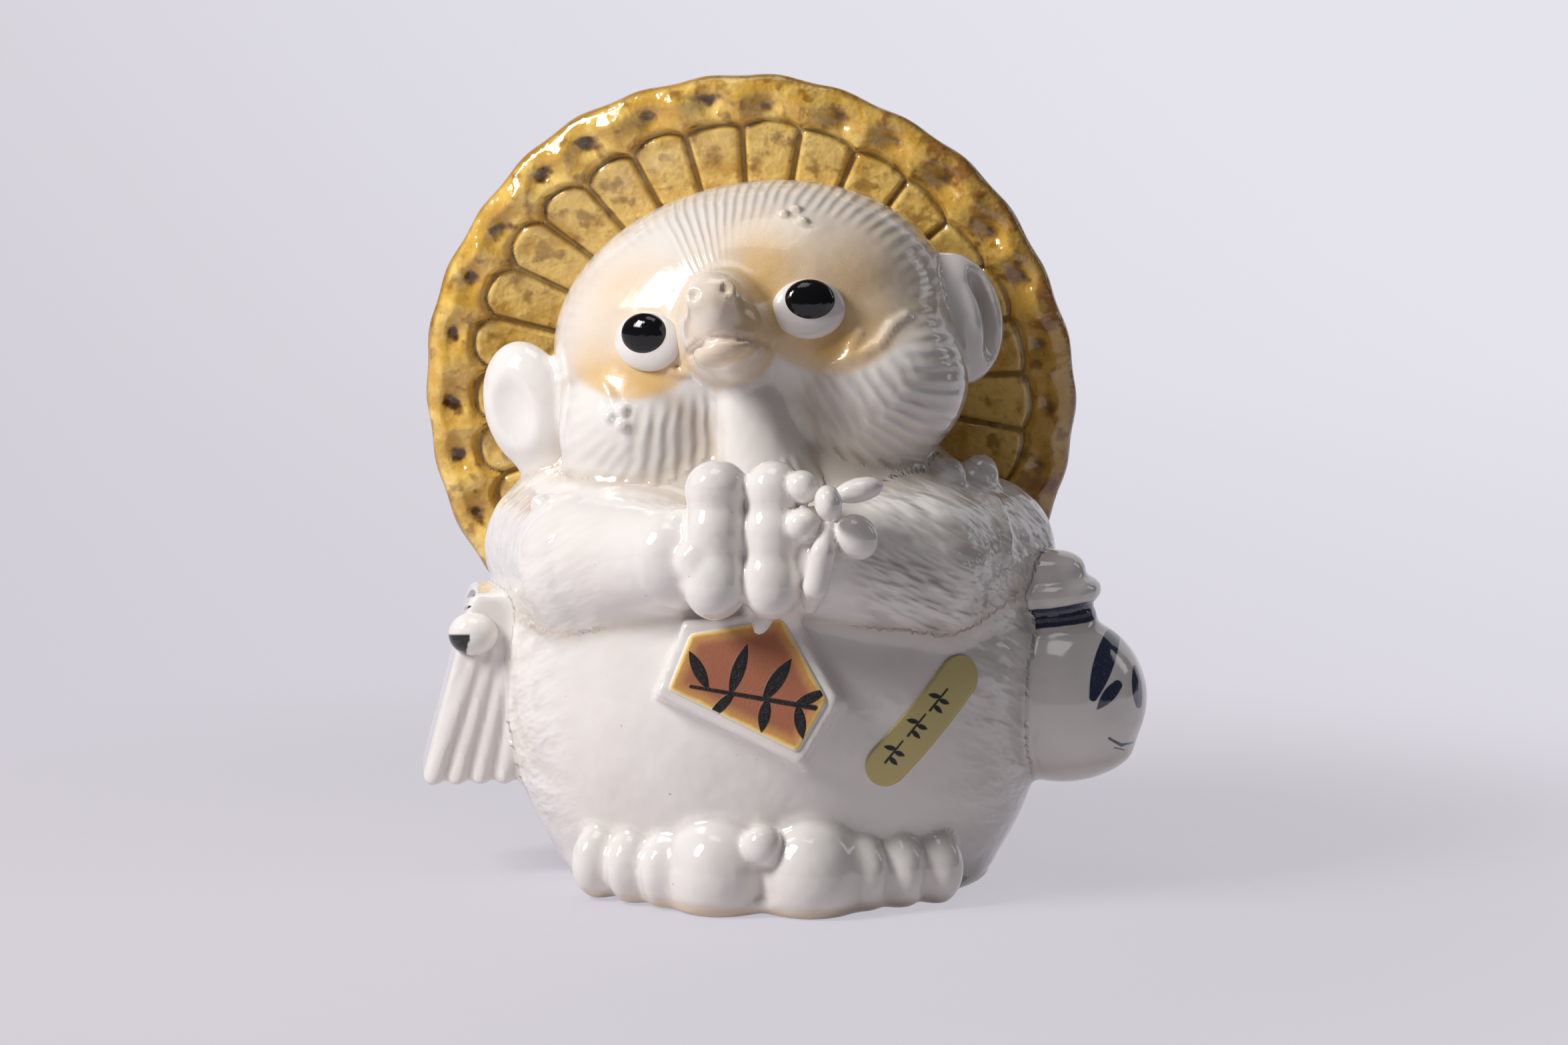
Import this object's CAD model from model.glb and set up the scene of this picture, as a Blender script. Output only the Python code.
"""Glazed stoneware tanuki with a straw hat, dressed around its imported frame.

The white-glazed figure is sculpted as one smooth skin of blended clay lumps and then parted into its
pieces. Sizes are in millimetres in the figure's own frame: +Z up, the face along -Y, +X to the right.
"""

import logging
import math
from dataclasses import dataclass, field, replace
from enum import Enum
from typing import Iterable, Sequence

import bpy
import numpy as np
import openvdb
from mathutils import Matrix, Vector


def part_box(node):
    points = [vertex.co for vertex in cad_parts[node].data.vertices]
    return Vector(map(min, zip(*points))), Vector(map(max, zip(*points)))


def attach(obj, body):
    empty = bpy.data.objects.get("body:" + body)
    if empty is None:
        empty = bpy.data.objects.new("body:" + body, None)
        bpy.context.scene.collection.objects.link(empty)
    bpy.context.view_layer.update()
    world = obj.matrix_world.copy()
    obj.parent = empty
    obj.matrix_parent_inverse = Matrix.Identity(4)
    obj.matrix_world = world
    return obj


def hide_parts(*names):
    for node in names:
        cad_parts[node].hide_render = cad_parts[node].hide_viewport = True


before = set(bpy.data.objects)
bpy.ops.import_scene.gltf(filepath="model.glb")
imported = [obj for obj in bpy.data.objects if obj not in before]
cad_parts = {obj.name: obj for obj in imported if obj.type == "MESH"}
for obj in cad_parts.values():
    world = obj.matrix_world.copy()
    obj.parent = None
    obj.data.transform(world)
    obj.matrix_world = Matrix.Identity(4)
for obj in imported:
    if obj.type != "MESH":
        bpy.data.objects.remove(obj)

logging.basicConfig(level=logging.INFO, format="%(message)s")
LOG = logging.getLogger("tanuki")

Array = np.ndarray
Pair = tuple[float, float]
Triple = tuple[float, float, float]
MM = 0.001
FAR = 1e3
SEAM_BACK = 6.0


def figure_origin() -> Array:
    """Where the figure's own origin lies in the shared frame."""
    low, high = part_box("body_back")
    return np.array([(low[0] + high[0]) / 2, low[1] - SEAM_BACK * MM, 0.0])


ORIGIN = figure_origin()


# Frames

@dataclass(frozen=True)
class Place:
    """A right-handed frame in the figure's millimetres."""

    matrix: Matrix

    def moved(self, x: float, y: float, z: float) -> "Place":
        """Step along the frame's own axes."""
        return Place(self.matrix @ Matrix.Translation((x, y, z)))

    def turned(self, axis: str, degrees: float) -> "Place":
        """Turn about one of the frame's own axes."""
        return Place(self.matrix @ Matrix.Rotation(math.radians(degrees), 4, axis))

    def inward(self, at: Array) -> Array:
        """Points of the figure in this frame."""
        turn = np.array(self.matrix.to_3x3())
        return (at - np.array(self.matrix.translation)) @ turn

    def outward(self, at: Array) -> Array:
        """Points of this frame in the figure."""
        turn = np.array(self.matrix.to_3x3())
        return at @ turn.T + np.array(self.matrix.translation)

    @property
    def origin(self) -> Array:
        """The frame's origin in the figure."""
        return np.array(self.matrix.translation)


FIGURE = Place(Matrix.Identity(4))


def facing(origin: Sequence[float], outward: Sequence[float]) -> Place:
    """Frame on a skin with its x level and its z along the skin's normal.

    Args:
        origin: Point on the skin.
        outward: Normal of the skin there.

    Returns:
        The frame.
    """
    z_axis = Vector(outward).normalized()
    x_axis = Vector((0, 0, 1)).cross(z_axis).normalized()
    y_axis = z_axis.cross(x_axis)
    turn = Matrix((x_axis, y_axis, z_axis)).transposed().to_4x4()
    return Place(Matrix.Translation(Vector(origin)) @ turn)


def bearing(degrees: float, rise: float = 0.0) -> Array:
    """Direction from an upright axis, measured from the front towards the right."""
    angle, level = math.radians(degrees), math.radians(rise)
    return np.array([math.cos(level) * math.sin(angle), -math.cos(level) * math.cos(angle), math.sin(level)])


# Forms, each known by its distance function

class Form:
    """A solid form: negative inside, positive outside, about the true distance near its skin."""

    def distance(self, at: Array) -> Array:
        """Distance of points from the form's skin."""
        raise NotImplementedError

    def box(self) -> tuple[Array, Array]:
        """Lowest and highest corner of the form."""
        raise NotImplementedError


@dataclass(frozen=True)
class Pellet(Form):
    """A clay pellet pressed to three sizes."""

    place: Place
    size: Triple

    def distance(self, at: Array) -> Array:
        """See Form."""
        half = np.array(self.size) / 2
        local = self.place.inward(at) / half
        near = np.linalg.norm(local, axis=1)
        slope = np.linalg.norm(local / half, axis=1) + 1e-9
        return near * (near - 1) / slope

    def box(self) -> tuple[Array, Array]:
        """See Form."""
        turn = np.array(self.place.matrix.to_3x3())
        reach = np.linalg.norm(turn * (np.array(self.size) / 2), axis=1)
        return self.place.origin - reach, self.place.origin + reach


@dataclass(frozen=True)
class Roll(Form):
    """A roll of clay along a line of points, with a radius at each point."""

    points: tuple[Triple, ...]
    radii: tuple[float, ...]

    def distance(self, at: Array) -> Array:
        """See Form."""
        best = np.full(len(at), FAR)
        for start, end, first, last in zip(self.points, self.points[1:], self.radii, self.radii[1:]):
            run = np.subtract(end, start)
            share = np.clip((at - start) @ run / (run @ run), 0.0, 1.0)
            gap = np.linalg.norm(at - start - share[:, None] * run, axis=1)
            best = np.minimum(best, gap - first - (last - first) * share)
        return best

    def box(self) -> tuple[Array, Array]:
        """See Form."""
        reach = max(self.radii)
        return np.min(self.points, axis=0) - reach, np.max(self.points, axis=0) + reach


@dataclass(frozen=True)
class Block(Form):
    """A block bounded by planes, each a point and an outward direction in the block's frame."""

    place: Place
    planes: tuple[tuple[Triple, Triple], ...]
    reach: float
    rounding: float

    def distance(self, at: Array) -> Array:
        """See Form."""
        local = self.place.inward(at)
        worst = np.full(len(at), -FAR)
        for point, outward in self.planes:
            normal = np.array(outward) / np.linalg.norm(outward)
            worst = -melt(-worst, -((local - point) @ normal), self.rounding)
        return worst

    def box(self) -> tuple[Array, Array]:
        """See Form."""
        return self.place.origin - self.reach, self.place.origin + self.reach


@dataclass(frozen=True)
class Overlap(Form):
    """What two forms share."""

    first: Form
    second: Form

    def distance(self, at: Array) -> Array:
        """See Form."""
        return np.maximum(self.first.distance(at), self.second.distance(at))

    def box(self) -> tuple[Array, Array]:
        """See Form."""
        first, second = self.first.box(), self.second.box()
        return np.maximum(first[0], second[0]), np.minimum(first[1], second[1])


@dataclass(frozen=True)
class Barrel(Form):
    """A stack of level ellipses, each a height, width, depth and step to the front."""

    sections: tuple[tuple[float, float, float, float], ...]

    def distance(self, at: Array) -> Array:
        """See Form."""
        table = np.array(self.sections)
        heights = table[:, 0]
        degree = len(table) - 1
        level = np.clip(at[:, 2], heights[0], heights[-1])
        wide, deep, ahead = (np.polyval(np.polyfit(heights, table[:, k], degree), level) for k in (1, 2, 3))
        x, y = at[:, 0] / (wide / 2), (at[:, 1] + ahead) / (deep / 2)
        near = np.hypot(x, y)
        side = near * (near - 1) / (np.hypot(x / (wide / 2), y / (deep / 2)) + 1e-9)
        return np.maximum(side, np.maximum(heights[0] - at[:, 2], at[:, 2] - heights[-1]))

    def box(self) -> tuple[Array, Array]:
        """See Form."""
        table = np.array(self.sections)
        wide, deep = table[:, 1].max() / 2, table[:, 2].max() / 2 + table[:, 3].max()
        return np.array([-wide, -deep, table[0, 0]]), np.array([wide, deep, table[-1, 0]])


def melt(first: Array, second: Array, radius: float) -> Array:
    """Smooth union of two distances.

    Args:
        first: Distances from one form.
        second: Distances from the other form.
        radius: Size of the fillet between them.

    Returns:
        The distances from both together.
    """
    if radius <= 0:
        return np.minimum(first, second)
    share = np.maximum(radius - np.abs(first - second), 0.0) / radius
    return np.minimum(first, second) - share * share * radius / 4


@dataclass(frozen=True)
class Lump:
    """One form of a sculpt: what it belongs to, its fillet, and whether it is scooped out."""

    piece: str
    form: Form
    fillet: float = 0.0
    scooped: bool = False


@dataclass
class Skin:
    """The outer skin of a sculpt: points, their normals, faces and the piece of each face."""

    points: Array
    normals: Array
    faces: Array
    owners: Array
    marks: dict[str, Array] = field(default_factory=dict)


class Sculpt:
    """Lumps of clay joined with fillets, and the skin over them."""

    MARGIN = 6.0
    ROUNDS = 3

    def __init__(self, lumps: Sequence[Lump], voxel: float) -> None:
        """Take the lumps in the order in which they are joined.

        Args:
            lumps: The lumps.
            voxel: Size of the cells in which the skin is found.
        """
        self.lumps = list(lumps)
        self.voxel = voxel
        self.names = list(dict.fromkeys(lump.piece for lump in self.lumps))

    def _reach(self, lump: Lump) -> tuple[Array, Array]:
        """Box in which a lump shapes the skin."""
        low, high = lump.form.box()
        return low - self.MARGIN - lump.fillet, high + self.MARGIN + lump.fillet

    def measure(self, at: Array) -> tuple[Array, Array, Array]:
        """Distance from the skin, and the piece that is nearest.

        Args:
            at: Points, one a row.

        Returns:
            The distances, the index of the nearest piece's name and the distance from its own lump.
        """
        total = np.full(len(at), FAR)
        nearest = np.full(len(at), FAR)
        owner = np.zeros(len(at), int)
        for lump in self.lumps:
            low, high = self._reach(lump)
            near = np.flatnonzero(np.all((at > low) & (at < high), axis=1))
            if not len(near):
                continue
            gap = lump.form.distance(at[near])
            if lump.scooped:
                total[near] = -melt(-total[near], gap, lump.fillet)
                continue
            total[near] = melt(total[near], gap, lump.fillet)
            closer = gap < nearest[near]
            nearest[near[closer]] = gap[closer]
            owner[near[closer]] = self.names.index(lump.piece)
        return total, owner, nearest

    def slope(self, at: Array) -> Array:
        """Unit normals of the skin.

        Args:
            at: Points near the skin, one a row.

        Returns:
            The normals.
        """
        step = self.voxel / 4
        corners = np.array([(1, -1, -1), (-1, -1, 1), (-1, 1, -1), (1, 1, 1)], float)
        rise = sum(corner * self.measure(at + corner * step)[0][:, None] for corner in corners)
        return rise / (np.linalg.norm(rise, axis=1, keepdims=True) + 1e-9)

    def _field(self) -> tuple[Array, Array]:
        """The distances on a grid of cells round the lumps.

        Returns:
            The grid's values and its lowest corner.
        """
        boxes = [self._reach(lump) for lump in self.lumps if not lump.scooped]
        low = np.min([box[0] for box in boxes], axis=0)
        counts = np.ceil((np.max([box[1] for box in boxes], axis=0) - low) / self.voxel).astype(int) + 1
        values = np.full(counts, FAR)
        for lump in self.lumps:
            bottom, top = self._reach(lump)
            first = np.maximum(np.ceil((bottom - low) / self.voxel).astype(int), 0)
            last = np.minimum(np.floor((top - low) / self.voxel).astype(int) + 1, counts)
            block = tuple(slice(a, b) for a, b in zip(first, last))
            axes = [low[k] + self.voxel * np.arange(first[k], last[k]) for k in range(3)]
            at = np.stack(np.meshgrid(*axes, indexing="ij"), axis=-1)
            gap = lump.form.distance(at.reshape(-1, 3)).reshape(at.shape[:3])
            if lump.scooped:
                values[block] = -melt(-values[block], gap, lump.fillet)
            else:
                values[block] = melt(values[block], gap, lump.fillet)
        return values, low

    def skin(self) -> Skin:
        """Find the skin and settle its points on the exact form.

        Returns:
            The skin.
        """
        values, low = self._field()
        grid = openvdb.FloatGrid(FAR)
        grid.copyFromArray(values)
        points, faces = grid.convertToQuads()
        points = points.astype(float) * self.voxel + low
        faces = faces.astype(int)
        corner = points[faces]
        volume = np.einsum("ij,ij->i", corner[:, 0], np.cross(corner[:, 1], corner[:, 2])).sum()
        if volume < 0:
            faces = faces[:, ::-1]
        for _ in range(self.ROUNDS):
            gap = np.clip(self.measure(points)[0], -self.voxel, self.voxel)
            points = points - gap[:, None] * self.slope(points)
        owners = self.measure(points[faces].mean(axis=1))[1]
        return Skin(points, self.slope(points), faces, owners)


# Meshes

def face_normals(points: Array, faces: Array) -> Array:
    """Smooth normals of a mesh of quads.

    Args:
        points: Points, one a row.
        faces: Quads as point numbers, one a row.

    Returns:
        The unit normal at each point, weighted by area.
    """
    corner = points[faces]
    lean = np.cross(corner[:, 2] - corner[:, 0], corner[:, 3] - corner[:, 1])
    total = np.zeros_like(points)
    for k in range(faces.shape[1]):
        np.add.at(total, faces[:, k], lean)
    return total / (np.linalg.norm(total, axis=1, keepdims=True) + 1e-12)


def open_loops(faces: Array) -> list[list[int]]:
    """Simple loops of a patch's open edges.

    Args:
        faces: Quads as point numbers, one a row.

    Returns:
        The loops, each a list of point numbers against the patch's own direction.
    """
    edges = np.concatenate([faces[:, [k, (k + 1) % 4]] for k in range(4)])
    known = set(map(tuple, edges.tolist()))
    onward: dict[int, list[int]] = {}
    for start, end in known:
        if (end, start) not in known:
            onward.setdefault(end, []).append(start)
    loops = []
    while onward:
        path = [next(iter(onward))]
        while path:
            here = path[-1]
            if here not in onward:
                break
            ahead = onward[here].pop()
            if not onward[here]:
                del onward[here]
            if ahead in path:
                cut = path.index(ahead)
                loops.append(path[cut:])
                path = path[:cut + 1]
            else:
                path.append(ahead)
    return loops


def add_mesh(name: str, points: Array, faces: list[Sequence[int]], normals: Array | None = None,
             marks: dict[str, Array] | None = None, caps: int = 0) -> bpy.types.Object:
    """Make an object of the scene from points in the figure's frame.

    Args:
        name: The object's name.
        points: Points in millimetres, one a row.
        faces: Faces as point numbers.
        normals: Normals to shade with, one for each point.
        marks: Values painted on the points, by name.
        caps: How many of the last faces are flat triangles.

    Returns:
        The object, linked to the scene.
    """
    mesh = bpy.data.meshes.new(name)
    mesh.from_pydata((points * MM + ORIGIN).tolist(), [], [list(map(int, face)) for face in faces])
    mesh.polygons.foreach_set("use_smooth", np.arange(len(faces)) < len(faces) - caps)
    for mark, values in (marks or {}).items():
        layer = mesh.attributes.new(mark, "FLOAT", "POINT")
        layer.data.foreach_set("value", np.ascontiguousarray(values, np.float32))
    if normals is not None:
        corners = np.array([normals[k] for face in faces for k in face])
        corners[len(corners) - 3 * caps:] = 0.0
        mesh.normals_split_custom_set(corners.tolist())
    piece = bpy.data.objects.new(name, mesh)
    bpy.context.scene.collection.objects.link(piece)
    return piece


def part_skin(skin: Skin, names: Sequence[str], cores: dict[str, Sequence[float]] | None = None,
              wide: float = 60.0, sunk: float = 8.0) -> dict[str, bpy.types.Object]:
    """Part a skin into closed pieces, one for each name.

    Args:
        skin: The skin.
        names: The pieces' names, by owner number.
        cores: Inner points by name, to which wide openings close.
        wide: Size from which an opening is wide.
        sunk: How far inside a smaller opening closes.

    Returns:
        The objects by name.
    """
    pieces = {}
    for index, name in enumerate(names):
        faces = skin.faces[skin.owners == index]
        if not len(faces):
            continue
        used, local = np.unique(faces, return_inverse=True)
        local = local.reshape(faces.shape)
        points = list(skin.points[used])
        closed = local.tolist()
        for loop in open_loops(local):
            rim = np.array([points[k] for k in loop])
            inner = rim.mean(axis=0) - skin.normals[used][loop].mean(axis=0) * sunk
            if np.ptp(rim, axis=0).max() > wide:
                inner = np.array((cores or {}).get(name, inner))
            apex = len(points)
            points.append(inner)
            closed += [(start, end, apex) for start, end in zip(loop, loop[1:] + loop[:1])]
        extra = len(points) - len(used)
        normals = np.concatenate([skin.normals[used], np.tile((0.0, 0.0, 1.0), (extra, 1))])
        marks = {mark: np.concatenate([values[used], np.zeros(extra)]) for mark, values in skin.marks.items()}
        caps = len(closed) - len(faces)
        pieces[name] = add_mesh(f"glazed_{name}", np.array(points), closed, normals, marks, caps)
        LOG.info("%s: %d faces", name, len(closed))
    return pieces


# The photograph's view

@dataclass(frozen=True)
class Photo:
    """The photograph as a pinhole view of the figure, in its own pixels."""

    width: int = 2352
    height: int = 1568
    azimuth: float = 6.0
    elevation: float = 7.0
    distance: float = 1185.0
    lens: float = 90.0
    sensor: float = 36.0
    target: Triple = (2.2, 0.0, 106.5)
    start: float = 150.0
    strides: int = 160
    stride: float = 2.0
    pace: float = 0.9

    @property
    def back(self) -> Array:
        """Direction from the figure to the camera."""
        return bearing(self.azimuth, self.elevation)

    @property
    def eye(self) -> Array:
        """The camera's place in the figure's frame."""
        return np.array(self.target) + self.back * self.distance

    @property
    def view(self) -> Place:
        """The camera's frame, with z out of the picture."""
        return facing(self.eye, self.back)

    @property
    def axes(self) -> tuple[Array, Array]:
        """Directions to the right and up in the picture."""
        right = np.cross((0.0, 0.0, 1.0), self.back)
        right /= np.linalg.norm(right)
        return right, np.cross(self.back, right)

    def pixels(self, at: Array) -> Array:
        """Where points show in the photograph.

        Args:
            at: Points, one a row.

        Returns:
            Column and row of each point.
        """
        right, up = self.axes
        ray = at - self.eye
        scale = self.lens / self.sensor * self.width / -(ray @ self.back)
        return np.stack([self.width / 2 + ray @ right * scale, self.height / 2 - ray @ up * scale], axis=1)

    def land(self, sculpt: Sculpt, pixels: Sequence[Pair]) -> Array:
        """Points of a sculpt's skin that show at pixels.

        Args:
            sculpt: The sculpt.
            pixels: Column and row of each pixel.

        Returns:
            The points, one a row.
        """
        right, up = self.axes
        offset = np.array(pixels, float) - (self.width / 2, self.height / 2)
        offset = offset * self.sensor / self.lens / self.width
        way = offset[:, :1] * right - offset[:, 1:] * up - self.back
        way /= np.linalg.norm(way, axis=1, keepdims=True)
        at = self.eye + way * (self.distance - self.start)
        for _ in range(self.strides):
            at = at + way * np.clip(sculpt.measure(at)[0], -self.stride, self.stride)[:, None] * self.pace
        return at

    def millimetres(self, at: Array) -> float:
        """Size of a pixel at a point."""
        return (self.eye - at) @ self.back * self.sensor / self.lens / self.width

    def faced(self, normals: Array) -> Array:
        """How squarely a skin faces the camera, from 0 on its far side."""
        return np.clip(normals @ self.back * 2.0, 0.0, 1.0)


PHOTO = Photo()


def seat(form: Form, start: Sequence[float], direction: Sequence[float], reach: float = 120.0,
         halvings: int = 40, step: float = 0.01) -> Place:
    """Frame on a form's skin where a ray from inside comes out.

    Args:
        form: The form.
        start: Point inside it.
        direction: The ray's direction.
        reach: Longest way to look.
        halvings: How often the way is halved.
        step: Step over which the skin's slope is taken.

    Returns:
        The frame, with x level and z outward.
    """
    way = np.array(direction, float) / np.linalg.norm(direction)
    low, high = 0.0, reach
    for _ in range(halvings):
        middle = (low + high) / 2
        if form.distance((np.array(start) + way * middle)[None])[0] < 0:
            low = middle
        else:
            high = middle
    point = np.array(start) + way * low
    probe = np.eye(3) * step
    outward = form.distance(point + probe) - form.distance(point - probe)
    return facing(point, outward)


class Side(Enum):
    """Left and right as seen from the front."""

    left = -1
    right = 1


# The figure's sub-assemblies

@dataclass(frozen=True)
class Body:
    """Barrel of the body with its open foot."""

    sections: tuple[tuple[float, float, float, float], ...] = (
        (0, 125, 102, 0), (17, 146, 116, 2), (50, 164, 128, 4), (99, 146, 108, 2), (137, 78, 62, 0))
    wall: float = 7.0
    dome: Triple = (168.0, 132.0, 144.0)
    dome_middle: float = 40.0
    core: Triple = (0.0, 0.0, 124.0)
    below: float = 1.0
    reach: float = 160.0
    fillet: float = 1.0

    @property
    def form(self) -> Barrel:
        """The barrel."""
        return Barrel(self.sections)

    @property
    def chest(self) -> Pair:
        """Height and depth of the chest."""
        return self.sections[3][0], self.sections[3][2]

    def lumps(self) -> list[Lump]:
        """The barrel."""
        return [Lump("body", self.form)]

    def hollow(self) -> list[Lump]:
        """The open foot, and everything under the foot rim's plane."""
        ground = Block(FIGURE, (((0, 0, 0), (0, 0, 1)),), self.reach, 0.0)
        inset = 2 * self.wall
        foot, *rest = ((z, wide - inset, deep - inset, ahead) for z, wide, deep, ahead in self.sections)
        inner = Barrel(((foot[0] - self.below, *foot[1:]), *rest))
        dome = Pellet(FIGURE.moved(0, -self.sections[2][3] / 2, self.dome_middle), self.dome)
        return [Lump("body", form, self.fillet, True) for form in (Overlap(inner, dome), ground)]


@dataclass(frozen=True)
class Head:
    """Head that leans to the left, with its cheeks and throat."""

    aside: float = 7.0
    height: float = 165.0
    lean: float = 12.0
    size: Triple = (122.0, 88.0, 88.0)
    cheek_apart: float = 70.0
    cheek: Triple = (54.0, 54.0, 50.0)
    cheek_forward: float = 16.0
    cheek_drop: float = 22.0
    throat: tuple[Triple, ...] = ((-1.5, 8.0, -14.0), (0.5, 6.0, -47.0))
    throat_radii: Pair = (9.0, 13.0)
    chin: Triple = (56.0, 38.0, 42.0)
    chin_at: Triple = (1.0, 23.0, -24.0)
    skull_fillet: float = 6.0
    cheek_fillet: float = 9.0
    chin_fillet: float = 5.0
    throat_fillet: float = 2.5

    @property
    def place(self) -> Place:
        """The head's frame."""
        return FIGURE.moved(-self.aside, 0, self.height).turned("Y", -self.lean)

    @property
    def form(self) -> Pellet:
        """The skull."""
        return Pellet(self.place, self.size)

    def lumps(self) -> list[Lump]:
        """Skull, cheeks, chin and throat."""
        made = [Lump("head", self.form, self.skull_fillet)]
        for side in Side:
            place = self.place.moved(side.value * self.cheek_apart / 2, -self.cheek_forward, -self.cheek_drop)
            made.append(Lump(f"{side.name}_cheek", Pellet(place, self.cheek), self.cheek_fillet))
        face = self.place.moved(0.0, -self.size[1] / 2, 0.0)
        made.append(Lump("head", Pellet(face.moved(*self.chin_at), self.chin), self.chin_fillet))
        line = face.outward(np.array(self.throat))
        made.append(Lump("head", Roll(tuple(map(tuple, line)), self.throat_radii), self.throat_fillet))
        return made


@dataclass(frozen=True)
class Muzzle:
    """Snout with its nose, nostrils and lip."""

    aside: float = 2.2
    rise: float = 6.5
    up: float = 16.0
    size: Triple = (18.5, 42.0, 25.0)
    base: Triple = (26.0, 32.0, 27.0)
    nose: Triple = (14.0, 12.0, 13.0)
    lip: Triple = (18.5, 19.0, 10.0)
    base_at: Triple = (0.0, 2.0, -4.0)
    nose_at: Triple = (0.0, 5.5, 4.0)
    lip_at: Triple = (0.0, -9.0, -11.5)
    fillets: Triple = (7.0, 5.0, 2.5)
    nostril_apart: float = 8.8
    nostril_rim: Triple = (6.0, 4.6, 7.0)
    nostril_at: Pair = (1.6, 3.5)
    hole: Triple = (3.4, 3.4, 3.4)
    hole_at: Triple = (0.4, -2.4, 0.2)
    nostril_fillets: Pair = (1.8, 0.8)

    def lumps(self, head: Head) -> list[Lump]:
        """Lumps of the snout.

        Args:
            head: The head that carries it.

        Returns:
            Snout, nose, nostrils and lip.
        """
        snout = head.place.moved(-self.aside, -head.size[1] / 2, self.rise).turned("X", -self.up)
        tip = snout.moved(0.0, -self.size[1] / 2, 0.0)
        snout_fillet, nose_fillet, lip_fillet = self.fillets
        rim_fillet, hole_fillet = self.nostril_fillets
        made = [
            Lump("muzzle", Pellet(snout.moved(*self.base_at), self.base), snout_fillet),
            Lump("muzzle", Pellet(snout, self.size), snout_fillet),
            Lump("nose", Pellet(tip.moved(*self.nose_at), self.nose), nose_fillet),
            Lump("lower_lip", Pellet(snout.moved(*self.lip_at), self.lip), lip_fillet),
        ]
        for side in Side:
            rim = tip.moved(side.value * self.nostril_apart / 2, *self.nostril_at)
            made.append(Lump("nose", Pellet(rim, self.nostril_rim), rim_fillet))
            out, *inward = self.hole_at
            hole = Pellet(rim.moved(side.value * out, *inward), self.hole)
            made.append(Lump("nose", hole, hole_fillet, True))
        return made


@dataclass(frozen=True)
class Ears:
    """Round ears: the left with a shallow dish, the right with a slot and a lobe in it."""

    apart: float = 132.0
    aside: float = 6.0
    forward: float = 2.0
    drop: float = 9.0
    splay: float = 25.0
    size: Triple = (30.0, 18.0, 40.0)
    dish: Triple = (23.0, 14.0, 33.0)
    dish_at: Triple = (-0.5, -13.0, 0.0)
    slot: Triple = (8.5, 22.0, 30.0)
    slot_at: Triple = (7.0, -9.0, 0.0)
    lobe: Triple = (8.0, 14.0, 24.0)
    lobe_at: Triple = (2.5, -3.5, -1.0)
    root_fillet: float = 2.5
    fillet: float = 1.5

    def lumps(self, head: Head) -> list[Lump]:
        """Lumps of both ears.

        Args:
            head: The head that carries them.

        Returns:
            Ears, their hollows and the lobe.
        """
        made = []
        for side in Side:
            out = side.value * self.apart / 2 - self.aside
            place = head.place.moved(out, -self.forward, -self.drop).turned("Z", side.value * self.splay)
            name = f"{side.name}_ear"
            made.append(Lump(name, Pellet(place, self.size), self.root_fillet))
            at, size = (self.dish_at, self.dish) if side is Side.left else (self.slot_at, self.slot)
            made.append(Lump(name, Pellet(place.moved(*at), size), self.fillet, True))
            if side is Side.right:
                made.append(Lump(name, Pellet(place.moved(*self.lobe_at), self.lobe), self.fillet))
        return made


@dataclass(frozen=True)
class Eyes:
    """Raised eye whites with beads of black glaze."""

    bearing: float = 31.0
    glance: float = 2.5
    up: float = 5.5
    white: Triple = (21.5, 17.5, 8.5)
    pupil: Triple = (15.0, 12.5, 8.0)
    pupil_at: Triple = (0.0, 2.2, 2.0)
    voxels: Pair = (0.6, 0.5)

    def sculpts(self, head: Head) -> list[tuple[Sculpt, Sculpt]]:
        """The eyes on the skull.

        Args:
            head: The head that carries them.

        Returns:
            The white and the bead of each eye.
        """
        made = []
        for side in Side:
            look = bearing(side.value * self.bearing - self.glance, self.up)
            way = head.place.outward(look[None])[0] - head.place.origin
            place = seat(head.form, head.place.origin, way)
            ball = Lump(f"{side.name}_eye_white", Pellet(place, self.white))
            bead = Lump(f"{side.name}_pupil", Pellet(place.moved(*self.pupil_at), self.pupil))
            made.append((Sculpt([ball], self.voxels[0]), Sculpt([bead], self.voxels[1])))
        return made


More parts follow.
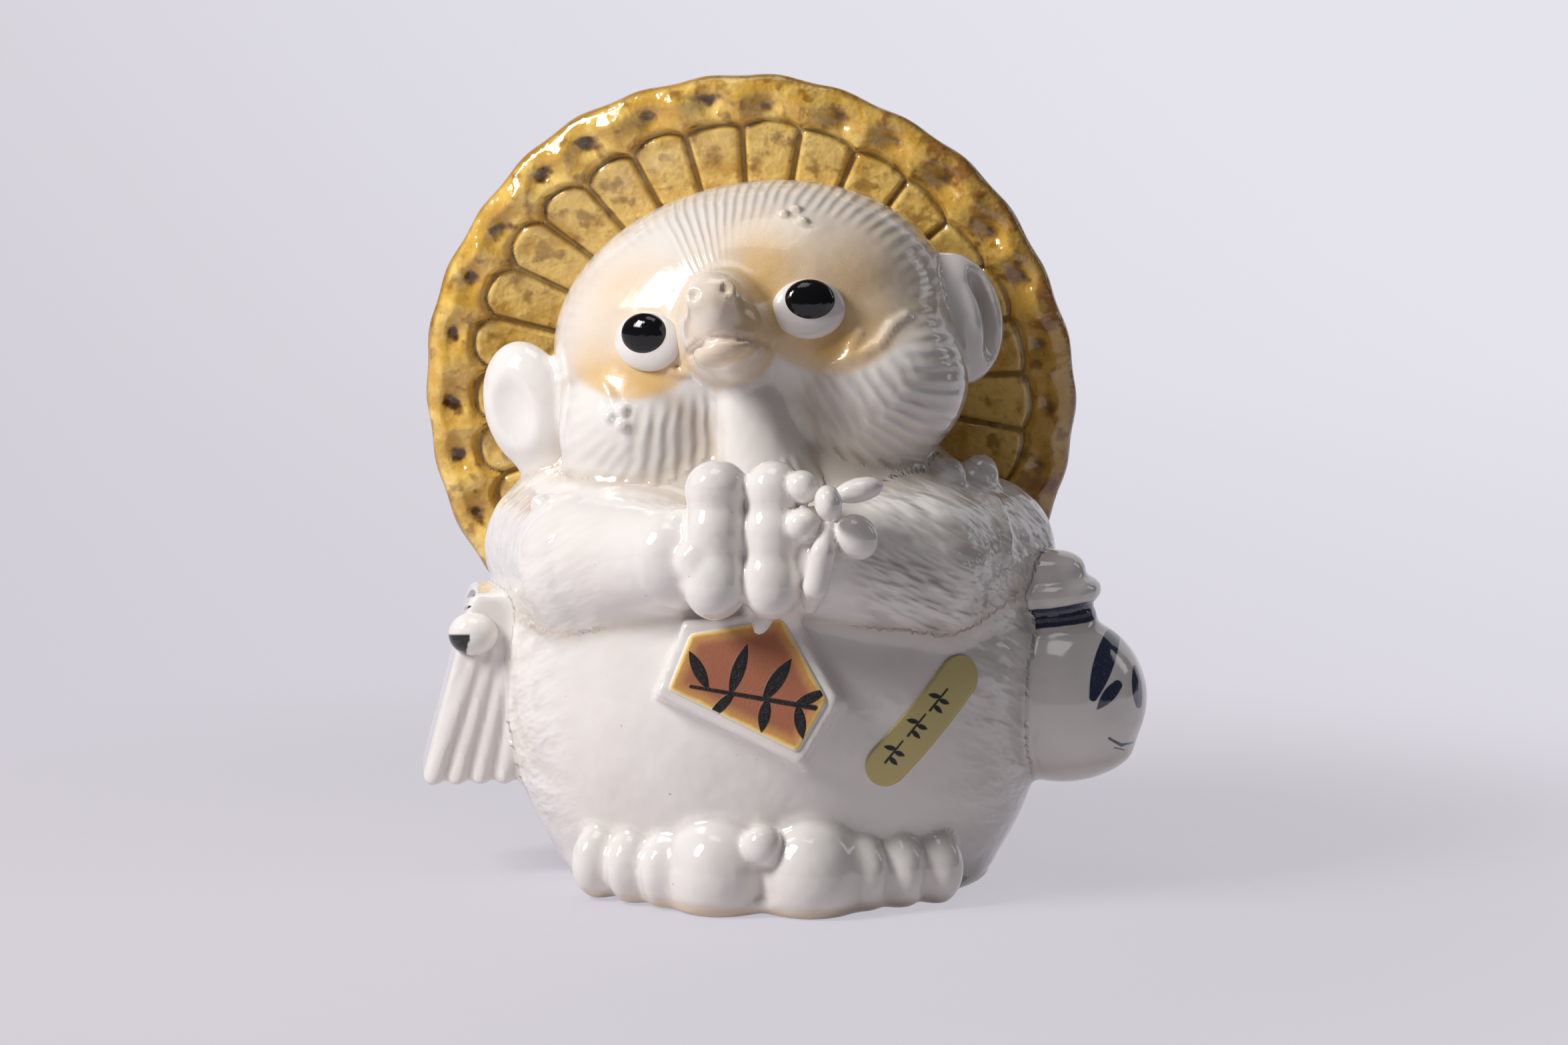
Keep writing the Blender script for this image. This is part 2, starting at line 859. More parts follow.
@dataclass(frozen=True)
class Arms:
    """Arms that wrap round to the pressed paws, over a chest that fills the neck."""

    line: tuple[Triple, ...] = (
        (64.0, 4.0, 98.0), (48.0, -36.0, 98.5), (20.0, -62.0, 104.0))
    radii: Triple = (23.0, 22.5, 15.0)
    aside: float = 3.0
    sleeve: float = 9.0
    chest: Triple = (120.0, 84.0, 50.0)
    chest_at: Triple = (-3.0, -4.0, 110.0)
    rolls: tuple[Pair, ...] = ((15.0, 16.0), (2.0, 19.0), (-12.0, 21.0))
    widths: Pair = (17.0, 15.5)
    paw: Triple = (-1.2, -72.0, 110.0)
    paw_slant: float = 10.0
    palm_behind: float = 0.5
    palm_ends: Pair = (-2.0, -1.0)
    palm_taper: float = 0.2
    roll_proud: Pair = (0.8, 1.8)
    chest_fillet: float = 14.0
    palm_fillet: float = 1.4
    roll_fillet: float = 2.5
    core: Triple = (41.0, -24.0, 100.0)

    def cores(self) -> dict[str, Triple]:
        """Inner points to which the arms close, by piece."""
        x, y, z = self.core
        return {f"{side.name}_arm": (side.value * x - self.aside, y, z) for side in Side}

    def lumps(self) -> list[Lump]:
        """Chest, arms and paws."""
        made = [Lump("body", Pellet(FIGURE.moved(*self.chest_at), self.chest), self.chest_fillet)]
        for side in Side:
            line = tuple((side.value * x - self.aside, y, z) for x, y, z in self.line)
            made.append(Lump(f"{side.name}_arm", Roll(line, self.radii), self.sleeve))
        for side in Side:
            made += self._paw(side)
        return made

    def _paw(self, side: Side) -> list[Lump]:
        """Column of finger rolls on one side of the paws' meeting.

        Args:
            side: Which paw.

        Returns:
            The column and its rolls.
        """
        width = self.widths[0 if side is Side.left else 1]
        column = FIGURE.moved(*self.paw).turned("X", -self.paw_slant)
        out = side.value * width / 2
        levels = self.rolls[0][0] + self.palm_ends[0], self.rolls[-1][0] + self.palm_ends[1]
        ends = column.outward(np.array([(out, self.palm_behind, level) for level in levels]))
        name = f"{side.name}_paw"
        palm = Roll(tuple(map(tuple, ends)), (width / 2 - self.palm_taper, width / 2))
        made = [Lump(name, palm, self.palm_fillet)]
        for level, tall in self.rolls:
            size = (width + self.roll_proud[0], width + self.roll_proud[1], tall)
            made.append(Lump(name, Pellet(column.moved(out, 0.0, level), size), self.roll_fillet))
        return made


@dataclass(frozen=True)
class Hangings:
    """What hangs on the figure: flask, account book and the cord of the plaque."""

    flask_at: Triple = (90.5, -6.0, 32.5)
    flask_lean: float = 7.0
    bulbs: tuple[tuple[float, float, float, float], ...] = (
        (23.5, 49.0, 49.0, 2.5), (6.0, 34.0, 12.0, 6.0), (48.0, 24.0, 12.0, 4.0), (55.0, 29.0, 13.0, 2.0),
        (61.5, 21.0, 13.0, 2.0))
    book_at: Triple = (-65.5, -6.0, 30.0)
    book_height: float = 57.0
    book_top: float = 15.0
    book_foot: float = 30.5
    book_thickness: float = 30.0
    book_lean: float = 12.0
    book_swing: float = 12.0
    book_behind: float = 8.0
    book_reach: float = 75.0
    book_fillet: float = 3.0
    ribs: int = 6
    rib_radii: Pair = (0.4, 1.5)
    rib_ends: Pair = (-16.0, 1.0)
    toggle: Triple = (15.0, 13.0, 13.0)
    toggle_at: Triple = (-88.6, -25.5, 74.9)
    toggle_voxel: float = 0.6
    cord: Triple = (12.0, 12.0, 20.0)
    cord_from: Triple = (2.0, 0.0, 90.5)
    cord_fillet: float = 2.0

    @property
    def flask(self) -> Place:
        """Frame at the middle of the flask's foot."""
        return FIGURE.moved(*self.flask_at).turned("Y", -self.flask_lean)

    @property
    def book(self) -> Place:
        """Frame at the foot of the book, with x outward from the hip."""
        return FIGURE.moved(*self.book_at).turned("Z", 180 + self.book_swing)

    def knot(self) -> Sculpt:
        """The toggle that holds the book."""
        form = Pellet(FIGURE.moved(*self.toggle_at), self.toggle)
        return Sculpt([Lump("book_knot", form)], self.toggle_voxel)

    def lumps(self, body: Body) -> list[Lump]:
        """Lumps of the hangings.

        Args:
            body: The body that carries them.

        Returns:
            Flask, book and cord.
        """
        made = []
        for level, width, tall, fillet in self.bulbs:
            made.append(Lump("bottle", Pellet(self.flask.moved(0, 0, level), (width, width, tall)), fillet))
        lean = self.book_height * math.tan(math.radians(self.book_lean))
        out = (self.book_height, 0, self.book_foot - self.book_top)
        half = self.book_thickness / 2
        planes = (
            ((self.book_foot + lean, 0, 0), out), ((0, 0, self.book_height), (0, 0, 1)),
            ((0, 0, 0), (0, 0, -1)), ((0, half, 0), (0, 1, 0)), ((0, -half, 0), (0, -1, 0)),
            ((-self.book_behind, 0, 0), (-1, 0, 0)),
        )
        block = Block(self.book, planes, self.book_reach, self.book_fillet)
        made.append(Lump("account_book", block, self.book_fillet))
        top, foot = self.book_height + self.rib_ends[0], self.rib_ends[1]
        for rib in range(self.ribs):
            share = (rib + 0.5) / self.ribs
            ends = self.book.outward(np.array([
                (share * (self.book_top + lean), half, top), (share * (self.book_foot + lean), half, foot)]))
            made.append(Lump("account_book", Roll(tuple(map(tuple, ends)), self.rib_radii), self.book_fillet))
        place = seat(body.form, self.cord_from, bearing(0.0))
        made.append(Lump("plaque_cord", Pellet(place, self.cord), self.cord_fillet))
        return made


@dataclass(frozen=True)
class Base:
    """Feet, pouch, tuft and tail round the foot of the body."""

    aside: float = 3.0
    foot_bearing: float = 38.0
    toes: int = 3
    toe: Triple = (16.0, 23.0, 25.0)
    toe_pitch: float = 12.0
    rim: Triple = (122.0, 120.0, 13.0)
    rim_at: Triple = (2.0, -9.0, 3.0)
    pouch: Triple = (31.0, 34.0, 34.0)
    pouch_overlap: float = 2.0
    pouch_level: float = 11.3
    tuft: float = 12.0
    tuft_rise: float = 21.0
    tuft_forward: float = 6.0
    tail: Triple = (70.0, 38.0, 38.0)
    tail_level: float = 28.0
    tail_proud: float = 3.0
    tail_turn: float = 60.0
    rim_fillet: float = 5.0
    toe_fillet: float = 3.0
    pouch_fillet: float = 4.0
    tuft_fillet: float = 1.2
    tail_fillet: float = 6.0

    def lumps(self, body: Body) -> list[Lump]:
        """Lumps of the base.

        Args:
            body: The body that carries them.

        Returns:
            Foot rim, toes, pouch lobes, tuft and tail.
        """
        made = [Lump("body", Pellet(FIGURE.moved(*self.rim_at), self.rim), self.rim_fillet)]
        for side in Side:
            heel = seat(body.form, (self.aside, 0, self.toe[1] / 2), bearing(side.value * self.foot_bearing))
            for toe in range(self.toes):
                place = heel.moved((toe - (self.toes - 1) / 2) * self.toe_pitch, 0, 0)
                made.append(Lump(f"{side.name}_foot", Pellet(place, self.toe), self.toe_fillet))
        front = seat(body.form, (0, 0, self.pouch_level), bearing(0.0)).origin
        for side in Side:
            out = self.aside + side.value * (self.pouch[0] / 2 - self.pouch_overlap)
            form = Pellet(FIGURE.moved(out, front[1], self.pouch_level), self.pouch)
            made.append(Lump(f"{side.name}_pouch", form, self.pouch_fillet))
        knob = seat(body.form, (self.aside, 0, self.tuft_rise), bearing(0.0)).origin
        place = FIGURE.moved(knob[0], knob[1] - self.tuft_forward, knob[2])
        made.append(Lump("pouch_tuft", Pellet(place, (self.tuft,) * 3), self.tuft_fillet))
        root = seat(body.form, (0, 0, self.tail_level), (0, 1, 0)).origin
        place = FIGURE.moved(0, root[1] + self.tail_proud, self.tail_level).turned("Y", -self.tail_turn)
        made.append(Lump("tail", Pellet(place, self.tail), self.tail_fillet))
        return made


@dataclass(frozen=True)
class Dab:
    """A small lump placed by where it shows: pixel, width and height in pixels, thickness in millimetres."""

    piece: str
    pixel: Pair
    size: Pair
    thickness: float
    turn: float = 0.0
    sunk: float = 0.5
    fillet: float = 1.2

    def at(self, place: Place, scale: float) -> Lump:
        """The lump in a frame that faces the camera.

        Args:
            place: Frame at the middle of the lump's foot.
            scale: Size of a pixel there.

        Returns:
            The lump.
        """
        raised = place.turned("Z", self.turn).moved(0, 0, self.thickness * (0.5 - self.sunk))
        size = (self.size[0] * scale, self.size[1] * scale, self.thickness)
        return Lump(self.piece, Pellet(raised, size), self.fillet)

    def lump(self, sculpt: Sculpt) -> Lump:
        """The lump on a sculpt's skin."""
        spot = PHOTO.land(sculpt, [self.pixel])[0]
        return self.at(facing(spot, PHOTO.back), PHOTO.millimetres(spot))


@dataclass(frozen=True)
class Seam:
    """A raised or pressed line placed by the pixels along it."""

    piece: str
    pixels: tuple[Pair, ...]
    radii: tuple[float, ...]
    fillet: float = 1.5
    pressed: bool = False
    sunk: float = 0.3

    def lump(self, sculpt: Sculpt) -> Lump:
        """The line on a sculpt's skin."""
        line = PHOTO.land(sculpt, self.pixels) - PHOTO.back * np.array(self.radii)[:, None] * self.sunk
        return Lump(self.piece, Roll(tuple(map(tuple, line)), self.radii), self.fillet, self.pressed)


@dataclass(frozen=True)
class Trimmings:
    """Small raised details: the ribbon bow, knuckles, whisker roots, cheek folds and seams."""

    knot: Pair = (1241, 756)
    beside: Pair = (1150, 770)
    bow_sunk: float = 2.5
    bow: tuple[Dab, ...] = (
        Dab("bow", (1241, 756), (42, 56), 12.0, 10.0, -0.25, 0.6),
        Dab("bow", (1203, 731), (54, 50), 11.0, -32.0, 0.5, 0.6),
        Dab("bow", (1202, 788), (58, 52), 12.0, 30.0, 0.5, 0.6),
        Dab("bow", (1287, 736), (76, 38), 9.0, 12.0, 0.5, 0.6),
        Dab("bow", (1284, 806), (62, 72), 12.0, 35.0, 0.45, 0.6),
    )
    bow_tail: tuple[Pair, ...] = ((1240, 790), (1234, 830), (1224, 880), (1216, 912))
    tail_radii: tuple[float, ...] = (2.2, 3.6, 3.8, 1.8)
    tail_lift: float = 2.5
    tail_fillet: float = 1.0
    knuckles: tuple[Dab, ...] = (
        Dab("left_paw", (1036, 842), (44, 50), 8.0, 0.0, 0.75, 3.0),
        Dab("left_paw", (1020, 778), (30, 30), 5.0, 0.0, 0.75, 2.0),
    )
    roots: tuple[Dab, ...] = (
        Dab("left_cheek", (916, 625), (22, 22), 4.0), Dab("left_cheek", (935, 615), (20, 20), 4.0),
        Dab("left_cheek", (934, 638), (22, 22), 4.0), Dab("head", (1176, 321), (15, 15), 3.0),
        Dab("head", (1194, 314), (15, 15), 3.0), Dab("head", (1204, 332), (16, 16), 3.0),
    )
    bosses: tuple[Dab, ...] = (
        Dab("right_arm", (1425, 712), (46, 52), 11.0, 20.0, 0.5, 3.0),
        Dab("right_arm", (1468, 716), (60, 70), 12.0, -20.0, 0.6, 4.0),
        Dab("left_arm", (812, 754), (34, 26), 6.0, 0.0, 0.5, 2.5),
    )
    seams: tuple[Seam, ...] = (
        Seam("right_cheek", ((1361, 473), (1338, 489), (1320, 517), (1294, 532), (1268, 541), (1246, 553)),
             (1.0, 1.5, 1.6, 1.5, 1.2, 0.7)),
        Seam("right_cheek", ((1290, 500), (1278, 520), (1272, 540)), (0.8, 1.2, 0.8)),
        Seam("left_cheek", ((905, 575), (915, 592), (921, 605)), (0.8, 1.2, 0.8)),
        Seam("left_cheek", ((1004, 540), (1010, 556), (1030, 560)), (1.0, 1.6, 0.8)),
        Seam("right_arm", ((1492, 752), (1502, 780), (1508, 806), (1510, 834)), (1.4, 2.0, 2.0, 1.4), 3.0),
        Seam("muzzle",
             ((1012, 552), (1032, 534), (1056, 513), (1078, 505), (1105, 507), (1135, 512), (1158, 517)),
             (0.7, 1.1, 1.3, 1.3, 1.3, 1.1, 0.7), 1.0, True),
    )

    def lumps(self, sculpt: Sculpt) -> list[Lump]:
        """Lumps of the trimmings.

        Args:
            sculpt: The sculpt that carries them.

        Returns:
            Bow, knuckles, whisker roots, bosses and seams.
        """
        made = [part.lump(sculpt) for part in (*self.seams, *self.knuckles, *self.roots, *self.bosses)]
        at, front = PHOTO.land(sculpt, [self.knot, self.beside])
        at = at + PHOTO.back * ((front - at) @ PHOTO.back - self.bow_sunk)
        plane, scale = facing(at, PHOTO.back), PHOTO.millimetres(at)
        for petal in self.bow:
            right, down = np.subtract(petal.pixel, self.knot) * scale
            made.append(petal.at(plane.moved(right, -down, 0.0), scale))
        line = PHOTO.land(sculpt, self.bow_tail) + PHOTO.back * self.tail_lift
        down = (self.bow_tail[0][1] - self.knot[1]) * scale
        line[0] = plane.moved(0.0, -down, 0.0).origin
        made.append(Lump("bow_tail", Roll(tuple(map(tuple, line)), self.tail_radii), self.tail_fillet))
        return made


Row = tuple[Array, Array, Sequence[Array]]


@dataclass(frozen=True)
class Hat:
    """Straw hat on the back: a dished front with a ring of tiles and pits, and a banded back."""

    radius: float = 100.8
    rim: float = 7.0
    wall: float = 10.0
    clear_of_head: float = 5.0
    origin: Triple = (-12.3, 27.0, 140.8)
    nod: float = 9.0
    tiles: int = 30
    tile_outer: float = 86.0
    tile_edge: Pair = (-0.4, 1.3)
    wander: tuple[Triple, ...] = ((0.9, 5, 1.0), (0.6, 13, 2.0))
    rounding: float = 1.8
    left_rounding: float = 2.2
    left: Pair = (0.0, 0.9)
    gap: float = 1.0
    relief: float = 1.8
    groove: float = 0.6
    groove_out: float = 0.2
    pit_radius: float = 4.6
    pit_depth: float = 4.0
    pit_from: float = 7.0
    pit_shape: Pair = (1.1, 1.3)
    pit_along: Pair = (0.9, 4.1)
    pit_aside: Pair = (0.15, 2.4)
    boss: float = 3.4
    boss_inner: Pair = (0.2, 3.0)
    boss_outer: Pair = (-3.0, 1.0)
    smudge_in: float = 10.0
    smudge: Pair = (5.5, 4.2)
    smudge_along: Pair = (1.5, 3.3)
    smudge_aside: Pair = (1.2, 5.7)
    bands: int = 4
    band_step: float = 1.6
    band_shade: float = 0.06
    straw: float = 0.2
    straws: int = 6
    steps: int = 24
    hidden_rings: tuple[float, ...] = (14.0, 28.0, 42.0, 54.0)
    shown_from: float = 60.0
    shown_short: float = 0.3
    front_step: float = 0.7
    back_step: float = 1.4
    back_middle: float = 12.0
    rim_steps: int = 8
    scallop: float = 0.35
    sway: Triple = (0.4, 9, 1.0)
    marks: tuple[str, ...] = ("tile", "pit", "groove", "smudge")

    @property
    def place(self) -> Place:
        """Frame at the middle of the rim, with z out of the hat's front."""
        z_axis = Vector(bearing(0.0, -self.nod))
        x_axis = Vector((1, 0, 0))
        turn = Matrix((x_axis, z_axis.cross(x_axis), z_axis)).transposed().to_4x4()
        return Place(Matrix.Translation(self.origin) @ turn)

    def depth(self, head: Head) -> float:
        """Depth of the cone: its tip clears the head, whose crown beds into the slope above."""
        middle = self.place.inward(head.place.origin[None])[0, 2]
        return head.size[1] / 2 - middle + self.wall + self.clear_of_head

    def front(self, radius: Array, angle: Array, depth: float) -> tuple[Array, ...]:
        """The front's relief: tiles with rounded ends inside a raised band of dimples.

        Args:
            radius: Distance from the middle.
            angle: Angle round the middle.
            depth: Depth of the cone.

        Returns:
            The level over the rim's top, how far inside a tile, how deep in a dimple, how deep in a
            groove, and how near the middle of a tile.
        """
        edge = self.radius - self.rim / 2
        level = (radius / edge - 1) * (depth - self.wall)
        half = math.pi / self.tiles
        turn = (angle + half) % (2 * half) - half
        number = np.floor((angle + half) / (2 * half))
        wander = sum(size * np.sin(angle * waves + start) for size, waves, start in self.wander)
        rounding = self.rounding * (1 + self.left_rounding * smooth(-np.cos(angle), *self.left))
        end = self.tile_outer + wander - rounding * np.abs(turn / half) ** 3
        inside = np.minimum(radius * np.sin(half - np.abs(turn)) - self.gap / 2, end - radius)
        tile = smooth(inside, *self.tile_edge)
        groove = np.exp(-((inside + self.groove_out) / self.groove) ** 2)
        across = (turn + half * stray(number, *self.pit_aside)) * radius / self.pit_shape[1]
        past = radius - self.tile_outer
        along = (past - self.pit_from - stray(number, *self.pit_along)) / self.pit_shape[0]
        dimple = np.exp(-(along ** 2 + across ** 2) / self.pit_radius ** 2)
        band = smooth(radius - end, *self.boss_inner) * (1 - smooth(radius - edge, *self.boss_outer))
        level = level + self.relief * tile + self.boss * band - self.pit_depth * dimple * band
        inward = (past + self.smudge_in - stray(number, *self.smudge_along)) / self.smudge[0]
        sideways = (turn * radius - stray(number, *self.smudge_aside)) / self.smudge[1]
        smudge = np.exp(-inward ** 2 - sideways ** 2)
        return level, tile, dimple ** 2 * band, groove, smudge

    def clear(self, at: Array, body: Body, rounds: int = 6, step: float = 0.05) -> Array:
        """Points of the hat held inside the body's wall, clear of its hollow.

        Args:
            at: The points.
            body: The body that the hat is luted to.
            rounds: How often the points are moved.
            step: Step over which the wall's slope is taken.

        Returns:
            The points, moved where they lay deeper than the wall's middle.
        """
        distance = body.form.distance
        for _ in range(rounds):
            deep = np.minimum(distance(at) + body.wall / 2, 0.0)
            rise = np.stack([distance(at + way) - distance(at - way) for way in np.eye(3) * step], axis=1)
            rise /= np.linalg.norm(rise, axis=1, keepdims=True) + 1e-9
            at = at - deep[:, None] * rise
        return at

    def rows(self, angles: Array, depth: float) -> list[Row]:
        """Rings from the middle of the front, over the rim, to the middle of the back.

        Args:
            angles: Angles of the points of a ring.
            depth: Depth of the cone.

        Returns:
            Radius, level and painted marks of each ring's points.
        """
        edge = self.radius - self.rim / 2
        even, bare = np.ones_like(angles), np.zeros_like(angles)
        made = []
        shown = np.arange(self.shown_from, edge - self.shown_short, self.front_step)
        for radius in (*self.hidden_rings, *shown):
            level, *painted = self.front(even * radius, angles, depth)
            made.append((even * radius, level, painted))
        sway, waves, start = self.sway
        wave = self.scallop * np.cos(angles * self.tiles) + sway * np.sin(angles * waves + start)
        for step in range(1, self.rim_steps):
            bend = math.pi * step / self.rim_steps
            out = edge + (self.rim / 2 + wave) * math.sin(bend)
            made.append((out, even * (math.cos(bend) - 1) * self.rim / 2, [bare] * len(self.marks)))
        fall = (depth - self.rim) / self.bands
        straw = self.straw * np.cos(angles * self.tiles * self.straws)
        for radius in np.arange(edge, self.back_middle, -self.back_step):
            share = radius / self.radius * self.bands
            past = share - np.floor(share)
            level = share * fall - depth + self.band_step * (1 - past)
            painted = even * (1 - past), bare, even * np.exp(-past / self.band_shade), bare
            made.append((even * radius, level - straw, painted))
        return made

    def build(self, head: Head, body: Body) -> bpy.types.Object:
        """Turn the hat on its frame.

        Args:
            head: The head in front of it.
            body: The body that it is luted to.

        Returns:
            The hat.
        """
        depth = self.depth(head)
        count = self.tiles * self.steps
        angles = np.arange(count) * 2 * math.pi / count
        rows = self.rows(angles, depth)
        x, y = np.cos(angles), np.sin(angles)
        points = np.concatenate([
            *(np.stack([out * x, out * y, level], axis=1) for out, level, _ in rows),
            [[0.0, 0.0, self.wall - depth], [0.0, 0.0, -depth]]])
        values = np.concatenate([
            *(np.stack(painted, axis=1) for *_, painted in rows), np.zeros((2, len(self.marks)))])
        ring = np.arange(count)
        after = np.roll(ring, -1)
        faces = []
        for low in range(0, (len(rows) - 1) * count, count):
            high = low + count
            faces += np.stack([low + ring, high + ring, high + after, low + after], axis=1).tolist()
        last, tip = (len(rows) - 1) * count, len(rows) * count
        faces += np.stack([np.full(count, tip), ring, after], axis=1).tolist()
        faces += np.stack([np.full(count, tip + 1), last + after, last + ring], axis=1).tolist()
        painted = dict(zip(self.marks, values.T))
        hat = add_mesh("glazed_hat", self.clear(self.place.outward(points), body), faces, marks=painted)
        LOG.info("hat: %d faces", len(faces))
        return hat


def stray(number: Array, size: float, beat: float) -> Array:
    """How far the details of each numbered tile lie from their even places."""
    return size * np.sin(number * beat)


def smooth(value: Array, low: float, high: float) -> Array:
    """Smooth step from 0 to 1."""
    share = np.clip((value - low) / (high - low), 0.0, 1.0)
    return share * share * (3 - 2 * share)


@dataclass(frozen=True)
class Puff:
    """A soft puff of sprayed glaze: its pixel, radii in pixels and strength."""

    pixel: Pair
    radii: Pair
    strength: float


@dataclass(frozen=True)
class Coat:
    """Where the white figure is sprayed tan, combed, stroked and creased."""

    puffs: tuple[Puff, ...] = (
        Puff((955, 500), (116, 124), 0.32), Puff((945, 576), (92, 50), 0.62),
        Puff((1010, 556), (50, 40), 0.30), Puff((960, 428), (84, 48), 0.25),
        Puff((886, 545), (40, 60), 0.18), Puff((1240, 436), (140, 128), 0.42),
        Puff((1138, 392), (66, 76), 0.60), Puff((1290, 420), (70, 84), 0.32),
        Puff((1248, 524), (104, 50), 0.65), Puff((1105, 540), (54, 36), 0.30),
        Puff((1142, 476), (44, 60), 0.40), Puff((1070, 905), (60, 26), 0.25),
    )
    snout: tuple[str, ...] = ("muzzle", "nose", "lower_lip")
    skull: tuple[str, ...] = ("head", "left_cheek", "right_cheek")
    paws: tuple[str, ...] = ("left_paw", "right_paw")
    stencils: tuple[Puff, ...] = (Puff((948, 488), (116, 114), 1.0), Puff((1248, 430), (132, 135), 1.0))
    stencil_rows: Pair = (490, 530)
    stencil_edge: Pair = (0.93, 1.04)
    crease: Pair = (0.25, 2.2)
    face: Pair = (-14, -4)
    rim: Pair = (0.80, 0.90)
    left_rim: float = 0.35
    brow: Pair = (0.42, 0.62)
    brow_half: float = 28
    brow_blur: float = 9
    cheek_below: Pair = (11, 20)
    cheek_middle: float = 2
    cheek_inner: Pair = (10, 15)
    cheek_left: Pair = (-46, -30)
    jowl_edge: Pair = (0.86, 0.96)
    trunk_strokes: float = 0.45
    flanks: Pair = (42, 62)
    above_foot: Pair = (8, 30)
    right_sleeve: Pair = (22, 40)
    left_strokes: float = 0.2
    left_sleeve: Pair = (30, 60)

    def spray(self, skin: Skin, owners: Array) -> Array:
        """How much tan glaze lies on each point.

        Args:
            skin: The skin.
            owners: The piece of each point.

        Returns:
            The shares.
        """
        at = PHOTO.pixels(skin.points)
        total = np.zeros(len(at))
        for puff in self.puffs:
            reach = np.linalg.norm((at - puff.pixel) / puff.radii, axis=1)
            total += puff.strength * np.exp(-1.2 * reach * reach)
        kept = np.isin(owners, self.snout).astype(float)
        for edge in self.stencils:
            reach = np.linalg.norm((at - edge.pixel) / edge.radii, axis=1)
            kept = np.maximum(kept, 1 - smooth(reach, *self.stencil_edge))
        kept = 1 - smooth(at[:, 1], *self.stencil_rows) * (1 - kept)
        sprayed = np.isin(owners, (*self.skull, *self.snout, *self.paws))
        return np.clip(total, 0.0, 1.0) * kept * sprayed * PHOTO.faced(skin.normals)

    def fur(self, skin: Skin, owners: Array, head: Head, spray: Array) -> tuple[Array, Array]:
        """How strongly each point of the head is combed, round the face and down the cheeks.

        Args:
            skin: The skin.
            owners: The piece of each point.
            head: The head.
            spray: The sprayed shares, where the skin is smooth.

        Returns:
            The shares of both.
        """
        x, y, z = head.place.inward(skin.points).T
        edge = np.hypot(x / (head.size[0] / 2), z / (head.size[2] / 2))
        angle = np.abs(np.degrees(np.arctan2(x, z)))
        rim = smooth(edge, *self.rim) * np.where(x > 0, 1.0, self.left_rim)
        brow = smooth(self.brow_half - angle, 0, self.brow_blur) * smooth(edge, *self.brow)
        aside = smooth(np.abs(x - self.cheek_middle), *self.cheek_inner) * smooth(x, *self.cheek_left)
        cheeks = smooth(-z, *self.cheek_below) * aside
        combed = np.isin(owners, self.skull)
        bare = smooth(-y, *self.face) * (1 - np.clip(spray * 2, 0, 1)) * combed
        jowl = cheeks * (1 - smooth(edge, *self.jowl_edge) * (x > 0))
        return np.maximum(rim, brow) * (1 - jowl) * bare, jowl * bare

    def strokes(self, skin: Skin, owners: Array) -> Array:
        """How strongly each point of the trunk, arms and tail shows strokes of fur.

        Args:
            skin: The skin.
            owners: The piece of each point.

        Returns:
            The shares.
        """
        x, y, z = skin.points.T
        round_about = np.abs(np.degrees(np.arctan2(x, -y)))
        trunk = smooth(round_about, *self.flanks) * smooth(z, *self.above_foot)
        strength = {
            "body": trunk * self.trunk_strokes,
            "right_arm": smooth(x, *self.right_sleeve),
            "left_arm": self.left_strokes * smooth(-x, *self.left_sleeve),
            "tail": 1.0,
        }
        total = np.zeros(len(x))
        for name, value in strength.items():
            total = np.where(owners == name, value, total)
        return total

    def mark(self, skin: Skin, sculpt: Sculpt, head: Head) -> None:
        """Paint the marks on a skin.

        Args:
            skin: The skin.
            sculpt: The sculpt that it covers.
            head: The head.
        """
        _, numbers, loose = sculpt.measure(skin.points)
        owners = np.array(sculpt.names)[numbers]
        spray = self.spray(skin, owners)
        skin.marks["spray"] = spray
        skin.marks["fur"], skin.marks["jowl"] = self.fur(skin, owners, head, spray)
        skin.marks["coat"] = self.strokes(skin, owners)
        skin.marks["crease"] = smooth(loose, *self.crease)


@dataclass(frozen=True)
class Stroke:
    """A tapered brush stroke: its ends, their widths, how much its middle swells, and its edge's blur."""

    start: Pair
    end: Pair
    start_width: float = 2.0
    end_width: float = 2.0
    belly: float = 0.0
    blur: float = 1.2

    def moved(self, x: float, y: float) -> "Stroke":
        """The same stroke elsewhere."""
        start, end = ((x + at[0], y + at[1]) for at in (self.start, self.end))
        return replace(self, start=start, end=end)


